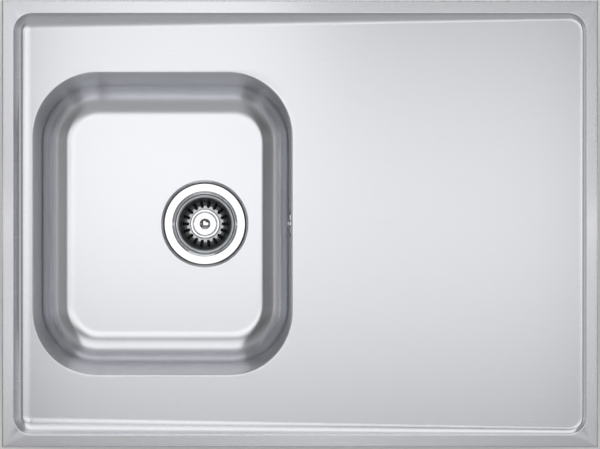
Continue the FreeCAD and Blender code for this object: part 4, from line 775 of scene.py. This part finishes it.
def basket_part():
    """Grids of the basket, one sector for each slot.

    Along the profile s the slot's half width is w = sqrt(h^2 - (h - e)^2) for a distance
    e < h from either end and h between; the metal runs from the angle asin(w / r) to the
    same angle before the next slot. Rows above and below the slot have w = 0 and meet.
    """
    line = rounded_profile(BASKET_PROFILE, BASKET_ARC_STEPS)
    run = np.concatenate([[0], np.cumsum(np.linalg.norm(np.diff(line, axis=0), axis=1))])
    top = np.interp(-SLOT_TOP, -line[:, 1], run)
    end = np.interp(-SLOT_INNER, -line[:, 0], run)
    ease = SLOT_HALF * (1 - np.cos(np.linspace(0, math.pi / 2, SLOT_END_ROWS)))
    s = np.concatenate([
        run[run < top - SLOT_CLEAR], top + ease,
        np.linspace(top + SLOT_HALF, end - SLOT_HALF, SLOT_SIDE_ROWS)[1:-1],
        end - ease[::-1], np.linspace(end, run[-1], FLOOR_ROWS)[1:]])
    r, z = np.interp(s, run, line[:, 0]), np.interp(s, run, line[:, 1])
    nearest = np.clip(np.minimum(s - top, end - s), 0, SLOT_HALF)
    w = np.sqrt(np.maximum(SLOT_HALF ** 2 - (SLOT_HALF - nearest) ** 2, 0))
    edge = np.arcsin(w / r)[:, None]
    pitch = 2 * math.pi / SLOTS
    share = np.linspace(0, 1, ROUND // SLOTS + 1)
    angle = edge + (pitch - 2 * edge) * share + np.arange(SLOTS)[:, None, None] * pitch
    points = np.stack([r[:, None] * np.cos(angle), -r[:, None] * np.sin(angle),
                       np.broadcast_to(z[:, None], angle.shape)], -1)
    rows, columns = angle.shape[1:]
    first = np.arange(SLOTS)[:, None, None, None] * rows * columns
    return points, grid_faces(rows, columns, False) + first


CROWN_ROWS = 14


def add_knob():
    """Knob with a ring groove and rolled edge, and the crowned button in its middle.

    The crown is a ball of radius (r^2 + h^2) / 2h for a rise h over the radius r.
    """
    bore_top = node_box("plunger_post")[1][2] - FLOOR_Z + POST_GAP
    knob = turned_part([(0, bore_top), (KNOB_BORE, bore_top)] + KNOB_PROFILE)
    add_shaped("knob_skin", [knob], "knob", ["basket_knob"], POLISHED)
    ball = (BUTTON_RADIUS ** 2 + BUTTON_RISE ** 2) / (2 * BUTTON_RISE)
    r = np.linspace(BUTTON_RADIUS - BUTTON_INSET, 0, CROWN_ROWS)
    crown = np.stack([r, KNOB_TOP + BUTTON_TOP - ball + np.sqrt(ball ** 2 - r ** 2)], 1)
    edge = rounded_profile([
        (0, KNOB_SEAT), (BUTTON_RADIUS, KNOB_SEAT, BUTTON_ROUNDS[0]),
        (BUTTON_RADIUS, KNOB_TOP + BUTTON_SIDE, BUTTON_ROUNDS[1]), tuple(crown[0])])
    rows = turned(np.concatenate([edge, crown[1:]]))
    add_shaped("button_skin", [(rows, grid_faces(*rows.shape[:2], True))], "knob",
               ["knob_button"], POLISHED)


def add_rosette():
    """Dished rosette on the drafted wall, with its own z looking into the bowl."""
    centre, into, up = overflow_axes()
    face_radius, face_z = ROSETTE_PROFILE[-1]
    face = holed_ring(ROSETTE_BORE, face_radius, ROSETTE_HOLES, face_z)
    add_shaped("rosette_skin", [turned_part(ROSETTE_PROFILE), face], "sink",
               ["overflow_rosette"], POLISHED, ROSETTE_SHEET,
               (centre, np.array([up, (0, 1, 0), into])))


# ================================================================ CAD nodes with their finish
def dress(nodes, material):
    """Gives the CAD nodes that no skin replaces their finish."""
    for name in nodes:
        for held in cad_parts[name].material_slots:
            held.material = material


add_deck()
add_bowl()
add_cup()
add_shaped("basket_skin", [basket_part()], "basket", ["strainer_basket"], PRESSED,
           BASKET_SHEET)
add_knob()
add_rosette()
dress(["clamp_screw", "plunger_post", "post_nut", "overflow_screw"], POLISHED)
dress(["stopper_plate", "stopper_washer"], PRESSED)
dress(["deck_channels", "hook_brackets"], ZINC)
dress(["waste_body", "overflow_elbow", "overflow_pipe", "union_nuts"], POLYPROPYLENE)
dress(["flange_seal", "body_seal", "stopper_seal", "overflow_seal", "union_seals"], RUBBER)
dress(["basket_hub"], ACETAL)
dress(["screw_insert"], BRASS)
dress(["deck_damping_pads", "bowl_damping_pad"], DAMPING)


# ================================================================ stage, light and camera
PANEL_Z = 2.03                # metres, overhead panels
ROOM_LEVEL = 0.13
FRONT_LEVEL = 0.42
LOW_LEVEL = 0.52              # all round, below a third of the way up
CORNER_LEVEL = 0.32           # higher up, between the sides
SIDE_LEVEL = 0.15             # added at the right, from halfway up down to the horizon
HORIZON = {"right": 0.75, "left": 0.80, "back": 0.85}  # pale bands low down
# Ramps of the room on the unit vector of the view direction: where each starts and ends.
FRONT_RAMP = (-0.55, -0.15)   # Y: the front's light fades on the way up
FRONT_SIDES = (0.15, 0.55)    # size of X: and to either side
RIGHT_RAMP = (0.35, 0.6)      # X: the room's own light rises to the right
LOW_RAMP = (0.46, 0.58)       # Z: the low light ends on the way up
CORNER_RAMP = (0.16, 0.26)    # size of X times Y: the corners start between the sides
BAND_RAMP = (0.86, 0.93)      # X, -X and Y: the bands at the right, the left and the back
GROUND_RAMP = (-0.02, 0.06)   # Z: the bands end at the horizon
FLOOR_HALF = 6.0              # metres
FLOOR_DROP = 0.01             # metres from the lowest piece down to the floor
CAMERA_HEIGHT = 4400.0        # over the rim
CAMERA_Y = -0.8               # the picture's middle lies a little before the sink's
FRAME_WIDTH = 804.0           # across the picture at the rim
SENSOR = 36.0
FAR = 100                     # metres


def add_floor():
    """Plain pale floor just under the lowest piece."""
    mesh = bpy.data.meshes.new("floor")
    half, z = FLOOR_HALF, cad_box[0][2] - FLOOR_DROP
    mesh.from_pydata([(-half, -half, z), (half, -half, z), (half, half, z), (-half, half, z)],
                     [], [(0, 1, 2, 3)])
    floor = bpy.data.objects.new("floor", mesh)
    mesh.materials.append(finish("pale_floor", plain("#E9E9E8", 0.8)))
    bpy.context.scene.collection.objects.link(floor)


def add_world():
    """Dim room: some light from the front, the right and between the sides, paler low down.

    Its level comes from smooth ramps on the view direction: the front's, faded to either
    side, plus the room's own, which rises to the right, or else the low, corner or horizon
    light where that is brighter.
    """
    world = bpy.data.worlds.new("studio")
    world.use_nodes = True
    bpy.context.scene.world = world
    tree = world.node_tree
    tree.nodes.clear()
    place = add(tree, "ShaderNodeTexCoord")
    axes = add(tree, "ShaderNodeSeparateXYZ", {0: place.outputs["Generated"]})
    x, y, z = axes.outputs
    wide = add(tree, "ShaderNodeMath", {0: x}, operation="ABSOLUTE").outputs[0]
    product = add(tree, "ShaderNodeMath", {0: x, 1: y}, operation="MULTIPLY").outputs[0]
    slanted = add(tree, "ShaderNodeMath", {0: product}, operation="ABSOLUTE").outputs[0]
    left_ramp = (-BAND_RAMP[1], -BAND_RAMP[0])
    term = {}
    for name, value, (start, end), low, high in (
            ("front", y, FRONT_RAMP, FRONT_LEVEL, 0.0),
            ("fade", wide, FRONT_SIDES, 1.0, 0.0),
            ("right", x, RIGHT_RAMP, ROOM_LEVEL, ROOM_LEVEL + SIDE_LEVEL),
            ("low", z, LOW_RAMP, LOW_LEVEL, 0.0),
            ("corner", slanted, CORNER_RAMP, 0.0, CORNER_LEVEL),
            ("right_band", x, BAND_RAMP, 0.0, HORIZON["right"]),
            ("left_band", x, left_ramp, HORIZON["left"], 0.0),
            ("back_band", y, BAND_RAMP, 0.0, HORIZON["back"]),
            ("sky", z, GROUND_RAMP, 0.0, 1.0)):
        term[name] = add(tree, "ShaderNodeMapRange", {
            "Value": value, "From Min": start, "From Max": end,
            "To Min": low, "To Max": high}, interpolation_type="SMOOTHSTEP").outputs[0]
    for name, first, operation, second in (
            ("front", "front", "MULTIPLY", "fade"),
            ("right_band", "right_band", "MULTIPLY", "sky"),
            ("left_band", "left_band", "MULTIPLY", "sky"),
            ("back_band", "back_band", "MULTIPLY", "sky"),
            ("level", "front", "ADD", "right"),
            ("level", "level", "MAXIMUM", "low"),
            ("level", "level", "MAXIMUM", "corner"),
            ("level", "level", "MAXIMUM", "right_band"),
            ("level", "level", "MAXIMUM", "left_band"),
            ("level", "level", "MAXIMUM", "back_band")):
        term[name] = add(tree, "ShaderNodeMath", {0: term[first], 1: term[second]},
                         operation=operation).outputs[0]
    light = add(tree, "ShaderNodeBackground", {"Strength": term["level"]})
    add(tree, "ShaderNodeOutputWorld", {"Surface": light.outputs[0]})


def add_panel(name, centre, size, radiance, target=(0.0, 0.0, -1.0), mirrored=True):
    """Soft light with its middle at centre, facing along target, size in metres.

    One that isn't mirrored lights the floor and the pieces that are not metal.
    """
    lamp = bpy.data.lights.new(name, "AREA")
    lamp.shape = "RECTANGLE"
    lamp.size, lamp.size_y = size
    lamp.energy = radiance * math.pi * lamp.size * lamp.size_y
    panel = bpy.data.objects.new(name, lamp)
    panel.location = centre
    panel.rotation_euler = Vector(target).to_track_quat("-Z", "Y").to_euler()
    panel.visible_camera = False
    panel.visible_glossy = mirrored
    bpy.context.scene.collection.objects.link(panel)


def add_overhead(name, low, high, radiance):
    """Panel over the sink that faces straight down, from corner low to corner high."""
    centre = ((low[0] + high[0]) / 2, (low[1] + high[1]) / 2, PANEL_Z)
    add_panel(name, centre, (high[0] - low[0], high[1] - low[1]), radiance)


def add_leaning(name, azimuth, zenith, distance, size, radiance):
    """Panel that faces the sink from an azimuth and an angle off the vertical, in degrees."""
    turn, lean = math.radians(azimuth), math.radians(zenith)
    away = Vector((math.sin(lean) * math.cos(turn), math.sin(lean) * math.sin(turn),
                   math.cos(lean)))
    add_panel(name, away * distance, size, radiance, -away)


def add_camera():
    """Straight down from high above the rim, framed as the photograph is."""
    lens = bpy.data.cameras.new("camera")
    lens.sensor_width = SENSOR
    lens.lens = SENSOR * CAMERA_HEIGHT / FRAME_WIDTH
    lens.clip_end = FAR
    camera = bpy.data.objects.new("camera", lens)
    camera.location = (0, CAMERA_Y * METRES, (RIM_Z + CAMERA_HEIGHT) * METRES)
    bpy.context.scene.collection.objects.link(camera)
    bpy.context.scene.camera = camera


# Corners, places and sizes are in metres. A panel's level is what a mirror shows of it.
add_floor()
add_world()
add_overhead("overhead_panel", (-0.64, -0.35), (0.61, 0.40), 1.42)
add_overhead("overhead_left_panel", (-0.64, 0.40), (-0.03, 0.80), 1.28)
add_panel("fill_panel", (0.0, 0.0, 2.7), (3.4, 3.4), 1.5, mirrored=False)
add_leaning("back_panel", 90.0, 52.0, 2.6, (1.6, 1.7), 1.05)
add_leaning("right_strip", 0.0, 48.0, 2.4, (0.14, 3.0), 0.8)
add_leaning("left_strip", 180.0, 56.0, 2.4, (0.14, 3.0), 0.8)
add_camera()
bpy.context.scene.view_settings.view_transform = "Standard"
